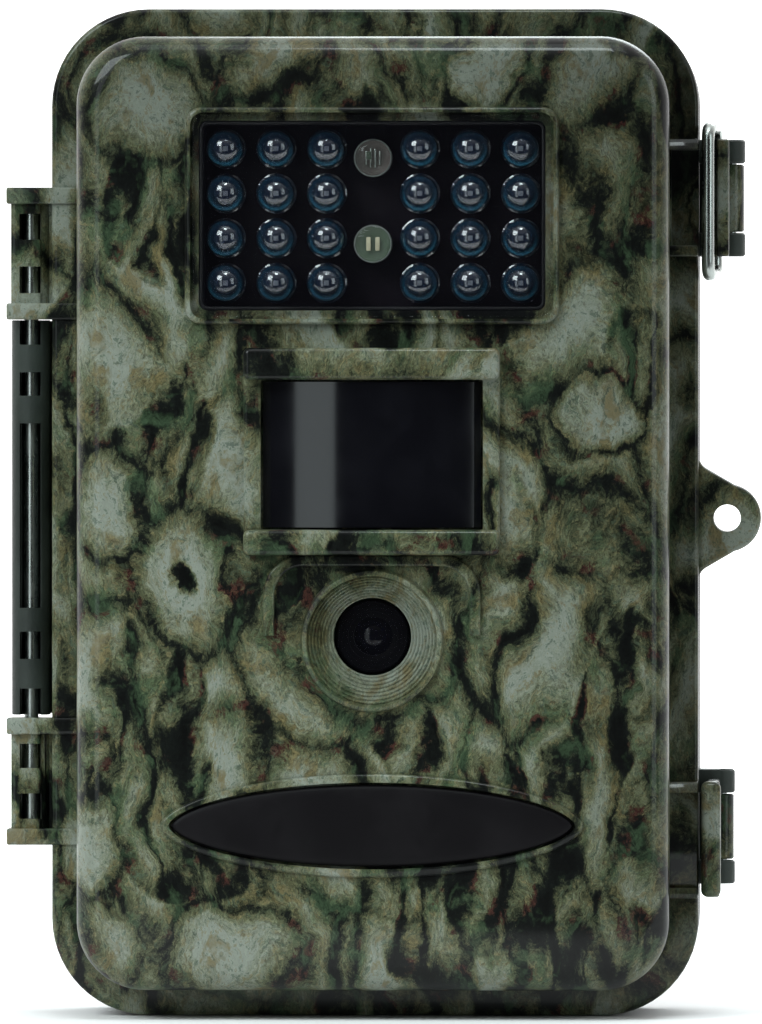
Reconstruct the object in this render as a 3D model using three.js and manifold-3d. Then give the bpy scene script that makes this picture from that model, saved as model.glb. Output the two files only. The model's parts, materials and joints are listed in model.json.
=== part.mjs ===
// Trail camera: a hinged two-shell housing with a lamp array, a motion sensor window and a lens
// on the door, a control panel on the door's inner side, and a battery tray in the rear shell.
// Millimetres, +Z up. The front faces -Y, +X is the viewer's right, the bottom face is at Z = 0.
// The door and the rear shell meet at the parting plane, and the door turns on a pin at -X.

import * as THREE from "three";
import { mergeVertices } from "three/addons/utils/BufferGeometryUtils.js";
import Module from "manifold-3d";

const wasm = await Module();
wasm.setup();

// ---------- driving dimensions ----------
const GAP = 0.3;

const HOUSING_HALF = 45;
const HOUSING_TOP = 140;
const HOUSING_CORNER = 13.5;
const PARTING_Y = -4;
const FLANGE_Y = -10;
const DOME_Y = -25;
const DOME_INSET = 4;
const DOME_CORNER = 10.5;
const DOME_ROUND = 3.6;
const DOOR_WALL = 2.6;
const DOOR_SIDE_WALL = 2.7;
const DOOR_BACK_Y = PARTING_Y - GAP / 2;
const REAR_FRONT_Y = PARTING_Y + GAP / 2;
const REAR_BACK_Y = 20;
const REAR_WALL = 2.5;
const REAR_LIP = 5;
const REAR_LIP_DEPTH = 3.6;

const HINGE = { x: -48, y: -7, pinR: 1, holeR: 1.3, barrelR: 2.7, plateR: 3.3 };
const HINGE_PLATE_HEIGHT = 2.3;
const HINGE_DOOR_SPANS = [[99.1, 112.9], [26, 39.1]];
const HINGE_REAR_SPAN = [41.9, 96.6];
const HINGE_WINDOW_HALF = 1.5;
const HINGE_DOOR_WINDOWS = [[0.1, 0.37], [0.64, 0.9]];
const HINGE_REAR_WINDOWS = [[0, 0.065], [0.14, 0.21], [0.27, 0.74], [0.81, 0.87], [0.94, 1]];

const LED = { rows: 4, columns: 6, rowPitch: 6.2, columnPitch: 7, middleGap: 12.9, midZ: 111.2 };
const LED_R = 2.6;
const LED_LENGTH = 7.9;
const WINDOW = { halfX: 23.95, halfZ: 13.1, frame: 1.15, bezel: 1.9, bezelY: -26.4, ledgeY: -24.9 };
const LED_BOARD_Y = -16.4;
const BOARD_THICK = 1.6;
const SENSOR_R = 2.75;
const SENSOR_Z = [119.2, 107.3];

const PIR = { z: 78.2, halfX: 15.05, halfZ: 10.05, sag: 3, rimY: -24.6, thick: 0.8 };
const HOOD = { halfX: 17.7, barHeight: 4.1, barY: -28.9, cheekY: -26.4 };

const LENS_Z = 53;
const LENS_RING = { outerR: 9.9, innerR: 5.4, steps: 4, frontY: -26, depth: 4.6 };
const SHADE = { halfX: 14.9, topZ: 64, legZ: 54, corner: 5.2, rib: 1.4, rise: 1 };

const BADGE = { z: 26.9, halfX: 27.8, halfZ: 5.7, rim: 1.5, rise: 0.7, recess: 1 };

const EAR = { x: 48.95, z: 69.2, tipR: 4.7, holeR: 1.9, rootHalf: 7.7, doorY: -8.4, rearY: -0.6 };

const UPPER = { x: 49.4, y: 2, low: 105.6, high: 121.9, lugR: 2, barrelR: 1.85, stripX: 47.5, frontY: -10.1 };
const LOWER = { x: 48.1, y: 2, low: 18, high: 34, lugR: 1.9, barrelR: 1.75, stripX: 46.2, frontY: -12.2 };
const LOWER_CATCH = [16.4, 32.6];
const LOWER_LEVER = [16.6, 32.7];
const LOWER_LIP = { x: [45.35, 48.1], y: [-13, -10.8], corner: 1, edge: 0.6 };
const CATCH_RIB = 1.5;
const LATCH_LUG = 3.3;
const LATCH_PIN_R = 0.8;
const LATCH_STRIP = 1.7;
const BAIL = { pivotX: 47.35, pivotY: -3, frontX: 46.3, frontY: -11.4, wireR: 0.9, low: 103.1 };
const BAIL_HIGH = 123.4;
const BAIL_BOSS_R = 1.8;
const BAIL_HOLE_DEPTH = 4;

const PANEL_FRONT_Y = -8.6;
const PANEL_BACK_Y = -6.6;
const MAIN_BOARD = [-12.2, -10.6];
const KEY_TRAVEL_SPACE = 0.6;
const KEYS = [
  { name: "key_up", x: 0, z: 72, r: 3 },
  { name: "key_down", x: 0, z: 52, r: 3 },
  { name: "key_left", x: -10, z: 62, r: 3 },
  { name: "key_right", x: 10, z: 62, r: 3 },
  { name: "key_ok", x: 0, z: 62, r: 3.6 },
  { name: "key_menu", x: -25, z: 62, r: 3.2 },
  { name: "key_replay", x: 25, z: 62, r: 3.2 },
];
const DISPLAY = { halfX: 17, low: 88, high: 116 };
const SWITCH = { x: 20, z: 38, slotHalf: 5.4, knobHalf: 2 };
const CARD = { x: -15.5, low: 10.6, width: 24, length: 32, thick: 2.1, y: -5.8 };
const SOCKETS = [
  { name: "usb_socket", x: 12, z: 20, halfX: 4, halfZ: 2.4 },
  { name: "video_socket", x: 28, z: 20, halfX: 3.4, halfZ: 3.4 },
];
const SCREW = { headR: 2.5, headHeight: 1.4, shankR: 1.2, slotWidth: 0.6, slotDepth: 0.6 };
const PANEL_SCREW_TIP_Y = -18;
const PANEL_SCREWS = [[-33, 14], [33, 14], [-33, 126], [33, 126]];

const CELL = { r: 7.25, pitch: 16, bay: 55.6, y: 9, clear: 0.3 };
const TRAY = { halfX: 33, low: 11, wall: 2.2, frontY: 4.6, backY: 17.4 };
const TRAY_SCREWS = [[-36.4, 30], [36.4, 30], [-36.4, 110], [36.4, 110]];
const TRAY_TAB_Y = 10;
const TRAY_TAB_THICK = 1.8;
const TRAY_SCREW_TIP_Y = 17;

const JACK = { z: 60, y: 9, boreR: 2.9, bodyHalf: 5 };
const RIDGE = { x: 30, half: 4.5, low: 16, high: 124, backY: 26.4, pitch: 9, tooth: 1.6 };
const STRAP = { low: 58, high: 86, bar: 2 };
const TRIPOD = { z: 36, bossR: 11, faceY: 26.4, insertR: 5, boreR: 3.2, floor: 1 };

// ---------- materials ----------
function finish(color, roughness, metalness = 0) {
  return new THREE.MeshStandardMaterial({ color, roughness, metalness });
}
const camoPlastic = finish(0x69705a, 0.35);
const rearPlastic = finish(0x363f38, 0.55);
const blackPlastic = finish(0x101112, 0.4);
const panelPlastic = finish(0x2b2f2d, 0.6);
const clearPlastic = finish(0x20242a, 0.08);
const ledBlue = finish(0x1b2c44, 0.15);
const sensorClear = finish(0x7d8578, 0.15);
const fresnelBlack = finish(0x0a0b10, 0.12);
const boardGreen = finish(0x17402a, 0.5);
const steel = finish(0xb4b8b4, 0.22, 1);
const brass = finish(0xb08d4a, 0.3, 1);
const rubber = finish(0x1c1c1c, 0.8);
const keyRubber = finish(0x6d7370, 0.65);
const lensGlass = finish(0x1d2233, 0.04);
const screenGlass = finish(0x23303a, 0.1);
const cardPlastic = finish(0x1b2d52, 0.45);

// ---------- solid helpers ----------
function signedVolume(position, index) {
  const a = new THREE.Vector3();
  const b = new THREE.Vector3();
  const c = new THREE.Vector3();
  let total = 0;
  for (let i = 0; i < index.length; i += 3) {
    a.fromBufferAttribute(position, index[i]);
    b.fromBufferAttribute(position, index[i + 1]);
    c.fromBufferAttribute(position, index[i + 2]);
    total += a.dot(b.cross(c));
  }
  return total;
}

function solid(geometry) {
  let bare = geometry.clone();
  bare.deleteAttribute("normal");
  bare.deleteAttribute("uv");
  bare = mergeVertices(bare, 1e-4);
  const corners = [];
  const source = bare.index.array;
  for (let i = 0; i < source.length; i += 3) {
    const [a, b, c] = [source[i], source[i + 1], source[i + 2]];
    if (a !== b && b !== c && c !== a) {
      corners.push(a, b, c);
    }
  }
  if (signedVolume(bare.attributes.position, corners) < 0) {
    for (let i = 0; i < corners.length; i += 3) {
      [corners[i + 1], corners[i + 2]] = [corners[i + 2], corners[i + 1]];
    }
  }
  return new wasm.Manifold(new wasm.Mesh({
    numProp: 3,
    vertProperties: new Float32Array(bare.attributes.position.array),
    triVerts: new Uint32Array(corners),
  }));
}

function join(first, ...others) {
  return others.reduce((whole, piece) => whole.add(piece), first);
}

function cut(first, ...others) {
  return others.reduce((whole, piece) => whole.subtract(piece), first);
}

function toGeometry(body) {
  const mesh = body.getMesh();
  const geometry = new THREE.BufferGeometry();
  geometry.setAttribute("position", new THREE.BufferAttribute(mesh.vertProperties, 3));
  geometry.setIndex(new THREE.BufferAttribute(mesh.triVerts, 1));
  geometry.computeVertexNormals();
  return geometry;
}

// ---------- shape helpers ----------
function block([x0, x1], [y0, y1], [z0, z1]) {
  const geometry = new THREE.BoxGeometry(x1 - x0, y1 - y0, z1 - z0);
  return solid(geometry.translate((x0 + x1) / 2, (y0 + y1) / 2, (z0 + z1) / 2));
}

function roundedRect(x0, x1, z0, z1, radius, shape = new THREE.Shape()) {
  const quarter = Math.PI / 2;
  shape.moveTo(x0 + radius, z0);
  shape.lineTo(x1 - radius, z0);
  shape.absarc(x1 - radius, z0 + radius, radius, -quarter, 0);
  shape.lineTo(x1, z1 - radius);
  shape.absarc(x1 - radius, z1 - radius, radius, 0, quarter);
  shape.lineTo(x0 + radius, z1);
  shape.absarc(x0 + radius, z1 - radius, radius, quarter, 2 * quarter);
  shape.lineTo(x0, z0 + radius);
  shape.absarc(x0 + radius, z0 + radius, radius, 2 * quarter, 3 * quarter);
  return shape;
}

function inset(amount, radius) {
  return roundedRect(-HOUSING_HALF + amount, HOUSING_HALF - amount, amount, HOUSING_TOP - amount, radius);
}

// A shape drawn in the X-Z plane, given thickness from frontY back to backY.
function slab(shape, frontY, backY, curveSegments = 5) {
  const settings = { depth: backY - frontY, bevelEnabled: false, curveSegments };
  const geometry = new THREE.ExtrudeGeometry(shape, settings);
  return solid(geometry.rotateX(Math.PI / 2).translate(0, backY, 0));
}

// The same with both ends rounded over by the given radius.
function roundedSlab(shape, frontY, backY, radius, rings = 2, curveSegments = 5) {
  const geometry = new THREE.ExtrudeGeometry(shape, {
    depth: backY - frontY - 2 * radius,
    bevelEnabled: true,
    bevelThickness: radius,
    bevelSize: radius,
    bevelOffset: -radius,
    bevelSegments: rings,
    curveSegments,
  });
  return solid(geometry.rotateX(Math.PI / 2).translate(0, backY - radius, 0));
}

// A shape drawn in the X-Y plane, raised from z0 to z1.
function prism(shape, z0, z1, curveSegments = 6) {
  const geometry = new THREE.ExtrudeGeometry(shape, { depth: z1 - z0, bevelEnabled: false, curveSegments });
  return solid(geometry.translate(0, 0, z0));
}

function rodZ(x, y, radius, z0, z1, sides = 12) {
  const geometry = new THREE.CylinderGeometry(radius, radius, z1 - z0, sides);
  return solid(geometry.rotateX(Math.PI / 2).translate(x, y, (z0 + z1) / 2));
}

function rodY(x, z, radius, y0, y1, sides = 16) {
  const geometry = new THREE.CylinderGeometry(radius, radius, y1 - y0, sides);
  return solid(geometry.translate(x, (y0 + y1) / 2, z));
}

function rodX(y, z, radius, x0, x1, sides = 20) {
  const geometry = new THREE.CylinderGeometry(radius, radius, x1 - x0, sides);
  return solid(geometry.rotateZ(Math.PI / 2).translate((x0 + x1) / 2, y, z));
}

// A turned body around a Y axis at (x, z); profile points are [radius, y].
function turned(x, z, profile, sides = 24) {
  const points = profile.map(([radius, y]) => new THREE.Vector2(radius, y));
  return solid(new THREE.LatheGeometry(points, sides).translate(x, 0, z));
}

function polygon(points) {
  return new THREE.Shape(points.map(([a, b]) => new THREE.Vector2(a, b)));
}

function ellipse(z, halfX, halfZ) {
  const shape = new THREE.Shape();
  shape.absellipse(0, z, halfX, halfZ, 0, 2 * Math.PI);
  return shape;
}

// A wire along straight runs with rounded corners.
function bentWire(corners, radius, bend, sides = 4) {
  const points = corners.map((corner) => new THREE.Vector3(...corner));
  const path = new THREE.CurvePath();
  let from = points[0];
  for (let i = 1; i < points.length - 1; i += 1) {
    const into = points[i - 1].clone().sub(points[i]).setLength(bend).add(points[i]);
    const out = points[i + 1].clone().sub(points[i]).setLength(bend).add(points[i]);
    path.add(new THREE.LineCurve3(from, into));
    path.add(new THREE.QuadraticBezierCurve3(into, points[i], out));
    from = out;
  }
  path.add(new THREE.LineCurve3(from, points[points.length - 1]));
  const section = new THREE.Shape();
  section.absarc(0, 0, radius, 0, 2 * Math.PI);
  const steps = 44;
  const settings = { steps, extrudePath: path, curveSegments: sides, bevelEnabled: false };
  return solid(new THREE.ExtrudeGeometry(section, settings));
}

// ---------- assembly ----------
const camera = new THREE.Group();
camera.name = "trail_camera";

function place(name, body, material) {
  const mesh = new THREE.Mesh(toGeometry(body), material.clone());
  mesh.name = name;
  camera.add(mesh);
}

// ---------- door shell ----------
function doorShell() {
  const flange = slab(inset(0, HOUSING_CORNER), FLANGE_Y, DOOR_BACK_Y);
  const dome = roundedSlab(inset(DOME_INSET, DOME_CORNER), DOME_Y, DOOR_BACK_Y - GAP, DOME_ROUND);
  const wall = DOME_INSET + DOOR_SIDE_WALL;
  const cavity = slab(inset(wall, DOME_CORNER - DOOR_SIDE_WALL), DOME_Y + DOOR_WALL, DOOR_BACK_Y + 1);
  return cut(flange.add(dome), cavity);
}

function ledBezel() {
  const { halfX, halfZ, bezel, bezelY } = WINDOW;
  const [low, high] = [LED.midZ - halfZ - bezel, LED.midZ + halfZ + bezel];
  return slab(roundedRect(-halfX - bezel, halfX + bezel, low, high, 2.4), bezelY, DOME_Y + 1, 3);
}

function ledOpening() {
  const { halfX, halfZ, frame, bezelY, ledgeY } = WINDOW;
  const outline = (grow, radius) => roundedRect(
    -halfX - grow, halfX + grow, LED.midZ - halfZ - grow, LED.midZ + halfZ + grow, radius);
  const recess = slab(outline(frame, 1.8), bezelY - 1, ledgeY, 3);
  return recess.add(slab(outline(0, 1.2), bezelY - 1, DOME_Y + 2 * DOOR_WALL, 3));
}

function pirHood() {
  const { halfX, barHeight, barY, cheekY } = HOOD;
  const [low, high] = [PIR.z - PIR.halfZ - GAP, PIR.z + PIR.halfZ + GAP];
  const bar = (z0, z1) => slab(roundedRect(-halfX, halfX, z0, z1, 0.8), barY, DOME_Y + 1, 2);
  const cheeks = block([-halfX, halfX], [cheekY, DOME_Y + 1], [low - 1, high + 1]);
  return join(cheeks, bar(low - barHeight, low), bar(high, high + barHeight));
}

function pirOpening() {
  const [halfX, halfZ] = [PIR.halfX + GAP, PIR.halfZ + GAP];
  const ledgeY = PIR.rimY + PIR.thick + GAP;
  const recess = block([-halfX, halfX], [HOOD.barY - 1, ledgeY], [PIR.z - halfZ, PIR.z + halfZ]);
  const inner = block([-halfX + 1.7, halfX - 1.7], [ledgeY - 1, DOME_Y + 2 * DOOR_WALL],
    [PIR.z - halfZ + 1.4, PIR.z + halfZ - 1.4]);
  return recess.add(inner);
}

function lensRing() {
  const { outerR, frontY, depth } = LENS_RING;
  return turned(0, LENS_Z, [[0, frontY], [outerR - 0.5, frontY], [outerR, frontY + 0.6],
    [outerR, frontY + depth + 1], [0, frontY + depth + 1]], 20);
}

function lensOpening() {
  const { outerR, innerR, steps, frontY, depth } = LENS_RING;
  const stepR = (outerR - 0.7 - innerR) / steps;
  const stepY = (depth - 0.6) / steps;
  const profile = [[0, frontY - 1], [outerR - 0.7, frontY - 1]];
  for (let i = 0; i < steps; i += 1) {
    profile.push([outerR - 0.7 - i * stepR, frontY + (i + 1) * stepY]);
    profile.push([outerR - 0.7 - (i + 1) * stepR, frontY + (i + 1) * stepY]);
  }
  profile.push([innerR, frontY + depth + 3], [0, frontY + depth + 3]);
  return turned(0, LENS_Z, profile, 20);
}

function lensShade() {
  const { halfX, topZ, legZ, corner, rib, rise } = SHADE;
  const arch = (grow) => roundedRect(-halfX + grow, halfX - grow, legZ - 12, topZ - grow, corner - grow);
  const frontY = DOME_Y - rise;
  const ring = cut(slab(arch(0), frontY, DOME_Y + 1, 5), slab(arch(rib), frontY - 1, DOME_Y + 2, 5));
  return cut(ring, block([-halfX - 1, halfX + 1], [frontY - 1, DOME_Y + 2], [legZ - 14, legZ]));
}

function badgeRim() {
  const { z, halfX, halfZ, rim, rise } = BADGE;
  return slab(ellipse(z, halfX + rim, halfZ + rim), DOME_Y - rise, DOME_Y + 1, 12);
}

function badgeRecess() {
  const { z, halfX, halfZ, recess } = BADGE;
  return slab(ellipse(z, halfX + GAP, halfZ + GAP), DOME_Y - 3, DOME_Y + recess, 12);
}

function earOutline() {
  const { x, z, tipR, rootHalf } = EAR;
  const shape = new THREE.Shape();
  const lean = 0.72;
  shape.moveTo(HOUSING_HALF - 2, z - rootHalf - 1.4);
  shape.lineTo(HOUSING_HALF, z - rootHalf);
  shape.absarc(x, z, tipR, -Math.PI / 2 + lean - 0.5, Math.PI / 2 - lean + 0.5);
  shape.lineTo(HOUSING_HALF, z + rootHalf);
  shape.lineTo(HOUSING_HALF - 2, z + rootHalf + 1.4);
  return shape;
}

function padlockEar(frontY, backY) {
  return slab(earOutline(), frontY, backY, 8);
}

function padlockHole() {
  return rodY(EAR.x, EAR.z, EAR.holeR, -20, 20, 16);
}

function hingeBarrel([z0, z1]) {
  return rodZ(HINGE.x, HINGE.y, HINGE.barrelR, z0, z1, 16);
}

function hingeHole() {
  return rodZ(HINGE.x, HINGE.y, HINGE.holeR, 0, HOUSING_TOP, 12);
}

// Windows in the front of a knuckle that show the pin, given as fractions of its height.
function hingeWindows([z0, z1], fractions) {
  const { x, y } = HINGE;
  return fractions.map(([a, b]) => block([x - HINGE_WINDOW_HALF, x + HINGE_WINDOW_HALF], [y - 9, y],
    [z0 + a * (z1 - z0), z0 + b * (z1 - z0)]));
}

function doorKnuckle([z0, z1]) {
  const { x, y, barrelR, plateR } = HINGE;
  const squareFront = block([x - barrelR, x + barrelR - 1.2], [y - barrelR, y], [z0 - 1, z1 + 1]);
  const barrel = hingeBarrel([z0 - 1, z1 + 1]).add(squareFront);
  const web = block([x, -HOUSING_HALF + 1], [y - 0.9, y + 1.1], [z0 - 1, z1 + 1]);
  const plate = (low) => {
    const round = rodZ(x, y, plateR, low, low + HINGE_PLATE_HEIGHT);
    const arm = block([x - plateR, -HOUSING_HALF + DOME_INSET + 0.5], [FLANGE_Y - 0.6, y + 0.4],
      [low, low + HINGE_PLATE_HEIGHT]);
    return round.add(arm);
  };
  const whole = join(barrel, web, plate(z1), plate(z0 - HINGE_PLATE_HEIGHT));
  return cut(whole, ...hingeWindows([z0, z1], HINGE_DOOR_WINDOWS));
}

// Round all over, because the door's edge passes close in front of it.
function rearKnuckle([z0, z1]) {
  const { x, y, barrelR } = HINGE;
  const barrel = hingeBarrel([z0, z1]);
  const web = prism(polygon([
    [x - barrelR, y], [x + barrelR, y], [x + barrelR, REAR_FRONT_Y], [-HOUSING_HALF + 1, REAR_FRONT_Y],
    [-HOUSING_HALF + 1, 2.5], [-HOUSING_HALF, 2.5], [x - barrelR, y + 4.5]]), z0, z1);
  return cut(join(barrel, web), ...hingeWindows([z0, z1], HINGE_REAR_WINDOWS));
}

// Two ribs across the rim that a latch closes between; the floor between them is set back.
function latchCatch(low, high) {
  const edge = HOUSING_HALF - 0.1;
  const rib = (z0) => block([HOUSING_HALF - DOME_INSET - 1, edge], [FLANGE_Y - 2.4, FLANGE_Y + 2],
    [z0, z0 + CATCH_RIB]);
  return rib(low).add(rib(high - 1.5));
}

function latchPocket(low, high) {
  return block([HOUSING_HALF - DOME_INSET + 0.2, HOUSING_HALF + 1], [FLANGE_Y - 1, FLANGE_Y + 2],
    [low + CATCH_RIB, high - CATCH_RIB]);
}

function latchCatchPlate(low, high) {
  return block([HOUSING_HALF - DOME_INSET - 1, HOUSING_HALF - 0.1], [FLANGE_Y - 1.1, FLANGE_Y + 2],
    [low + 1.4, high - 1.4]);
}

function panelBosses() {
  const bosses = PANEL_SCREWS.map(([x, z]) => rodY(x, z, 3, DOME_Y + 1, PANEL_FRONT_Y - GAP, 8));
  const corners = PANEL_SCREWS.map(([x, z]) => block(
    [Math.min(x, x + Math.sign(x) * 6), Math.max(x, x + Math.sign(x) * 6)],
    [DOME_Y + 1, PANEL_FRONT_Y - GAP], [z - 1, z + 1]));
  return join(...bosses, ...corners);
}

function panelBossHoles() {
  return join(...PANEL_SCREWS.map(([x, z]) => rodY(x, z, 1.6, -19, PANEL_FRONT_Y + 1, 6)));
}

function frontCover() {
  const shell = join(doorShell(), ledBezel(), pirHood(), lensRing(), lensShade(), badgeRim(),
    padlockEar(EAR.doorY, DOOR_BACK_Y), panelBosses(), ...HINGE_DOOR_SPANS.map(doorKnuckle));
  const pocketed = cut(shell, latchPocket(UPPER.low, UPPER.high));
  const latched = join(pocketed, latchCatch(UPPER.low, UPPER.high),
    latchCatch(...LOWER_CATCH), latchCatchPlate(...LOWER_CATCH));
  return cut(latched, ledOpening(), pirOpening(), lensOpening(), badgeRecess(), padlockHole(),
    hingeHole(), panelBossHoles());
}
place("front_cover", frontCover(), camoPlastic);

// ---------- lamp array behind its window ----------
function ledWindow() {
  const { halfX, halfZ, frame, ledgeY } = WINDOW;
  const grow = frame - GAP;
  const [low, high] = [LED.midZ - halfZ - grow, LED.midZ + halfZ + grow];
  const outline = roundedRect(-halfX - grow, halfX + grow, low, high, 1.5);
  return slab(outline, ledgeY - GAP - 0.9, ledgeY - GAP, 3);
}
place("led_window", ledWindow(), clearPlastic);

function ledCentres() {
  const centres = [];
  for (let row = 0; row < LED.rows; row += 1) {
    const z = LED.midZ + (row - (LED.rows - 1) / 2) * LED.rowPitch;
    for (let column = 0; column < LED.columns / 2; column += 1) {
      const x = LED.middleGap / 2 + column * LED.columnPitch;
      centres.push([x, z], [-x, z]);
    }
  }
  return centres;
}

function ledBoard() {
  const halfX = WINDOW.halfX + 2;
  const halfZ = WINDOW.halfZ + 2;
  let board = block([-halfX, halfX], [LED_BOARD_Y, LED_BOARD_Y + BOARD_THICK],
    [LED.midZ - halfZ, LED.midZ + halfZ]);
  const tipY = LED_BOARD_Y - LED_LENGTH;
  for (const [x, z] of ledCentres()) {
    board = board.add(turned(x, z, [[0, tipY], [LED_R * 0.8, tipY + 0.9], [LED_R, tipY + 2.5],
      [LED_R, LED_BOARD_Y + 0.5], [0, LED_BOARD_Y + 0.5]], 6));
  }
  return board;
}
place("led_board", ledBoard(), ledBlue);

function roundSensor(z) {
  const frontY = LED_BOARD_Y - 5.4;
  return turned(0, z, [[0, frontY], [SENSOR_R * 0.7, frontY], [SENSOR_R, frontY + 0.9],
    [SENSOR_R, LED_BOARD_Y - GAP], [0, LED_BOARD_Y - GAP]], 14);
}
place("indicator_led", roundSensor(SENSOR_Z[0]), sensorClear);
place("light_sensor", roundSensor(SENSOR_Z[1]), sensorClear);

// ---------- motion sensor ----------
function pirWindow() {
  const { halfX, halfZ, sag, rimY, thick, z } = PIR;
  const radius = (halfX * halfX + sag * sag) / (2 * sag);
  const centreY = rimY - sag + radius;
  const half = Math.asin(halfX / radius);
  const shape = new THREE.Shape();
  shape.absarc(0, centreY, radius, -Math.PI / 2 - half, -Math.PI / 2 + half);
  shape.lineTo(halfX, rimY + thick);
  shape.absarc(0, centreY, radius - thick, -Math.PI / 2 + half, -Math.PI / 2 - half, true);
  shape.lineTo(-halfX, rimY + thick);
  return prism(shape, z - halfZ, z + halfZ, 12);
}
place("pir_window", pirWindow(), fresnelBlack);
place("pir_sensor", rodY(0, PIR.z, 4.6, -18.5, MAIN_BOARD[0] - GAP), steel);

// ---------- lens ----------
const WINDOW_DISC_Y = LENS_RING.frontY + LENS_RING.depth + 0.3;
const BARREL_FRONT_Y = WINDOW_DISC_Y + 1.5;
const BARREL_BACK_Y = -15.9;

place("lens_window", rodY(0, LENS_Z, LENS_RING.innerR - GAP, WINDOW_DISC_Y - 0.9, WINDOW_DISC_Y - 0.1, 24),
  clearPlastic);
place("lens_barrel", turned(0, LENS_Z, [[2.2, BARREL_FRONT_Y + 0.4], [3.9, BARREL_FRONT_Y],
  [4.9, BARREL_FRONT_Y], [4.9, BARREL_BACK_Y], [3.6, BARREL_BACK_Y], [3.6, BARREL_FRONT_Y + 1.6],
  [2.2, BARREL_FRONT_Y + 1.2], [2.2, BARREL_FRONT_Y + 0.4]], 20), blackPlastic);
place("front_lens", turned(0, LENS_Z, [[0, BARREL_FRONT_Y + 2.0], [1.8, BARREL_FRONT_Y + 2.2],
  [3.3, BARREL_FRONT_Y + 2.8], [3.3, BARREL_FRONT_Y + 3.9], [0, BARREL_FRONT_Y + 3.9]], 16), lensGlass);
place("ir_cut_filter", cut(block([-5, 5], [-15.4, -14.6], [LENS_Z - 4, LENS_Z + 4]),
  rodY(-7, LENS_Z, 0.5, -17, -12)), lensGlass);
place("image_sensor", block([-8, 8], [-14.2, -12.6], [LENS_Z - 8, LENS_Z + 8])
  .add(block([-3.5, 3.5], [-14.3, -14], [LENS_Z - 3, LENS_Z + 3])), boardGreen);

place("badge_plate", roundedSlab(ellipse(BADGE.z, BADGE.halfX, BADGE.halfZ),
  DOME_Y - BADGE.rise + 0.1, DOME_Y + BADGE.recess - GAP, 0.3, 1, 12), blackPlastic);

// ---------- main board and control panel on the door's inner side ----------
function mainBoard() {
  const outline = inset(9.5, 5);
  return cut(slab(outline, MAIN_BOARD[0], MAIN_BOARD[1], 3),
    ...PANEL_SCREWS.map(([x, z]) => rodY(x, z, 3.6, -20, 0, 10)),
    ...PANEL_SCREWS.map(([x, z]) => block([Math.min(x, x * 1.3), Math.max(x, x * 1.3)], [-20, 0],
      [z - 2, z + 2])));
}
place("main_board", mainBoard(), boardGreen);

function innerPanel() {
  const margin = DOME_INSET + DOOR_SIDE_WALL + GAP;
  const plate = slab(inset(margin, 7.2), PANEL_FRONT_Y, PANEL_BACK_Y, 4);
  const displayFrame = slab(roundedRect(-DISPLAY.halfX - 2.4, DISPLAY.halfX + 2.4, DISPLAY.low - 2.4,
    DISPLAY.high + 2.4, 2), PANEL_FRONT_Y, PANEL_BACK_Y + 0.8, 3);
  const holes = [
    block([-DISPLAY.halfX, DISPLAY.halfX], [-20, 0], [DISPLAY.low, DISPLAY.high]),
    block([SWITCH.x - SWITCH.slotHalf, SWITCH.x + SWITCH.slotHalf], [-20, 0],
      [SWITCH.z - 1.8, SWITCH.z + 1.8]),
    ...KEYS.map(({ x, z, r }) => rodY(x, z, r + GAP, -20, 0, 12)),
    ...SOCKETS.map(({ x, z, halfX, halfZ }) => block(
      [x - halfX - GAP, x + halfX + GAP], [-20, 0], [z - halfZ - GAP, z + halfZ + GAP])),
    ...PANEL_SCREWS.map(([x, z]) => rodY(x, z, 1.6, -20, 0, 6)),
  ];
  return cut(plate.add(displayFrame), ...holes);
}
place("inner_panel", innerPanel(), panelPlastic);

place("display", block([-DISPLAY.halfX + GAP, DISPLAY.halfX - GAP], [-10.2, PANEL_BACK_Y - 0.2],
  [DISPLAY.low + GAP, DISPLAY.high - GAP]), screenGlass);

for (const { name, x, z, r } of KEYS) {
  const collarFront = MAIN_BOARD[1] + KEY_TRAVEL_SPACE;
  place(name, turned(x, z, [[0, collarFront], [r + 0.8, collarFront], [r + 0.8, PANEL_FRONT_Y - GAP],
    [r, PANEL_FRONT_Y - GAP], [r, PANEL_BACK_Y + 1.6], [0, PANEL_BACK_Y + 1.6]], 12), keyRubber);
}

function switchKnob() {
  const { x, z, knobHalf } = SWITCH;
  const stem = block([x - knobHalf, x + knobHalf], [-10, PANEL_BACK_Y + 1], [z - 1.5, z + 1.5]);
  const cap = block([x - knobHalf, x + knobHalf], [PANEL_BACK_Y + GAP, PANEL_BACK_Y + 1.9], [z - 3, z + 3]);
  const grooves = [-1, 0, 1].map((step) => block(
    [x + step * 1.2 - 0.25, x + step * 1.2 + 0.25], [PANEL_BACK_Y + 1.4, PANEL_BACK_Y + 3], [z - 4, z + 4]));
  return cut(stem.add(cap), ...grooves);
}
place("power_switch", switchKnob(), keyRubber);

function cardSlot() {
  const { x, low, width, length, thick, y } = CARD;
  const half = width / 2 + GAP;
  const housing = block([x - half - 1.4, x + half + 1.4], [PANEL_BACK_Y + GAP, y + thick + 1.1],
    [low + 5, low + length + 2]);
  const mouth = block([x - half, x + half], [y - GAP, y + thick + GAP], [low - 5, low + length + 0.6]);
  const thumb = rodY(x, low + 5, 6, y + thick, y + 9, 16);
  return cut(housing, mouth, thumb);
}
place("card_slot", cardSlot(), steel);

function memoryCard() {
  const { x, low, width, length, thick, y } = CARD;
  const half = width / 2;
  const outline = polygon([[x - half, low], [x + half, low], [x + half, low + length],
    [x - half + 4, low + length], [x - half, low + length - 4]]);
  return slab(outline, y, y + thick);
}
place("memory_card", memoryCard(), cardPlastic);

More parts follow.
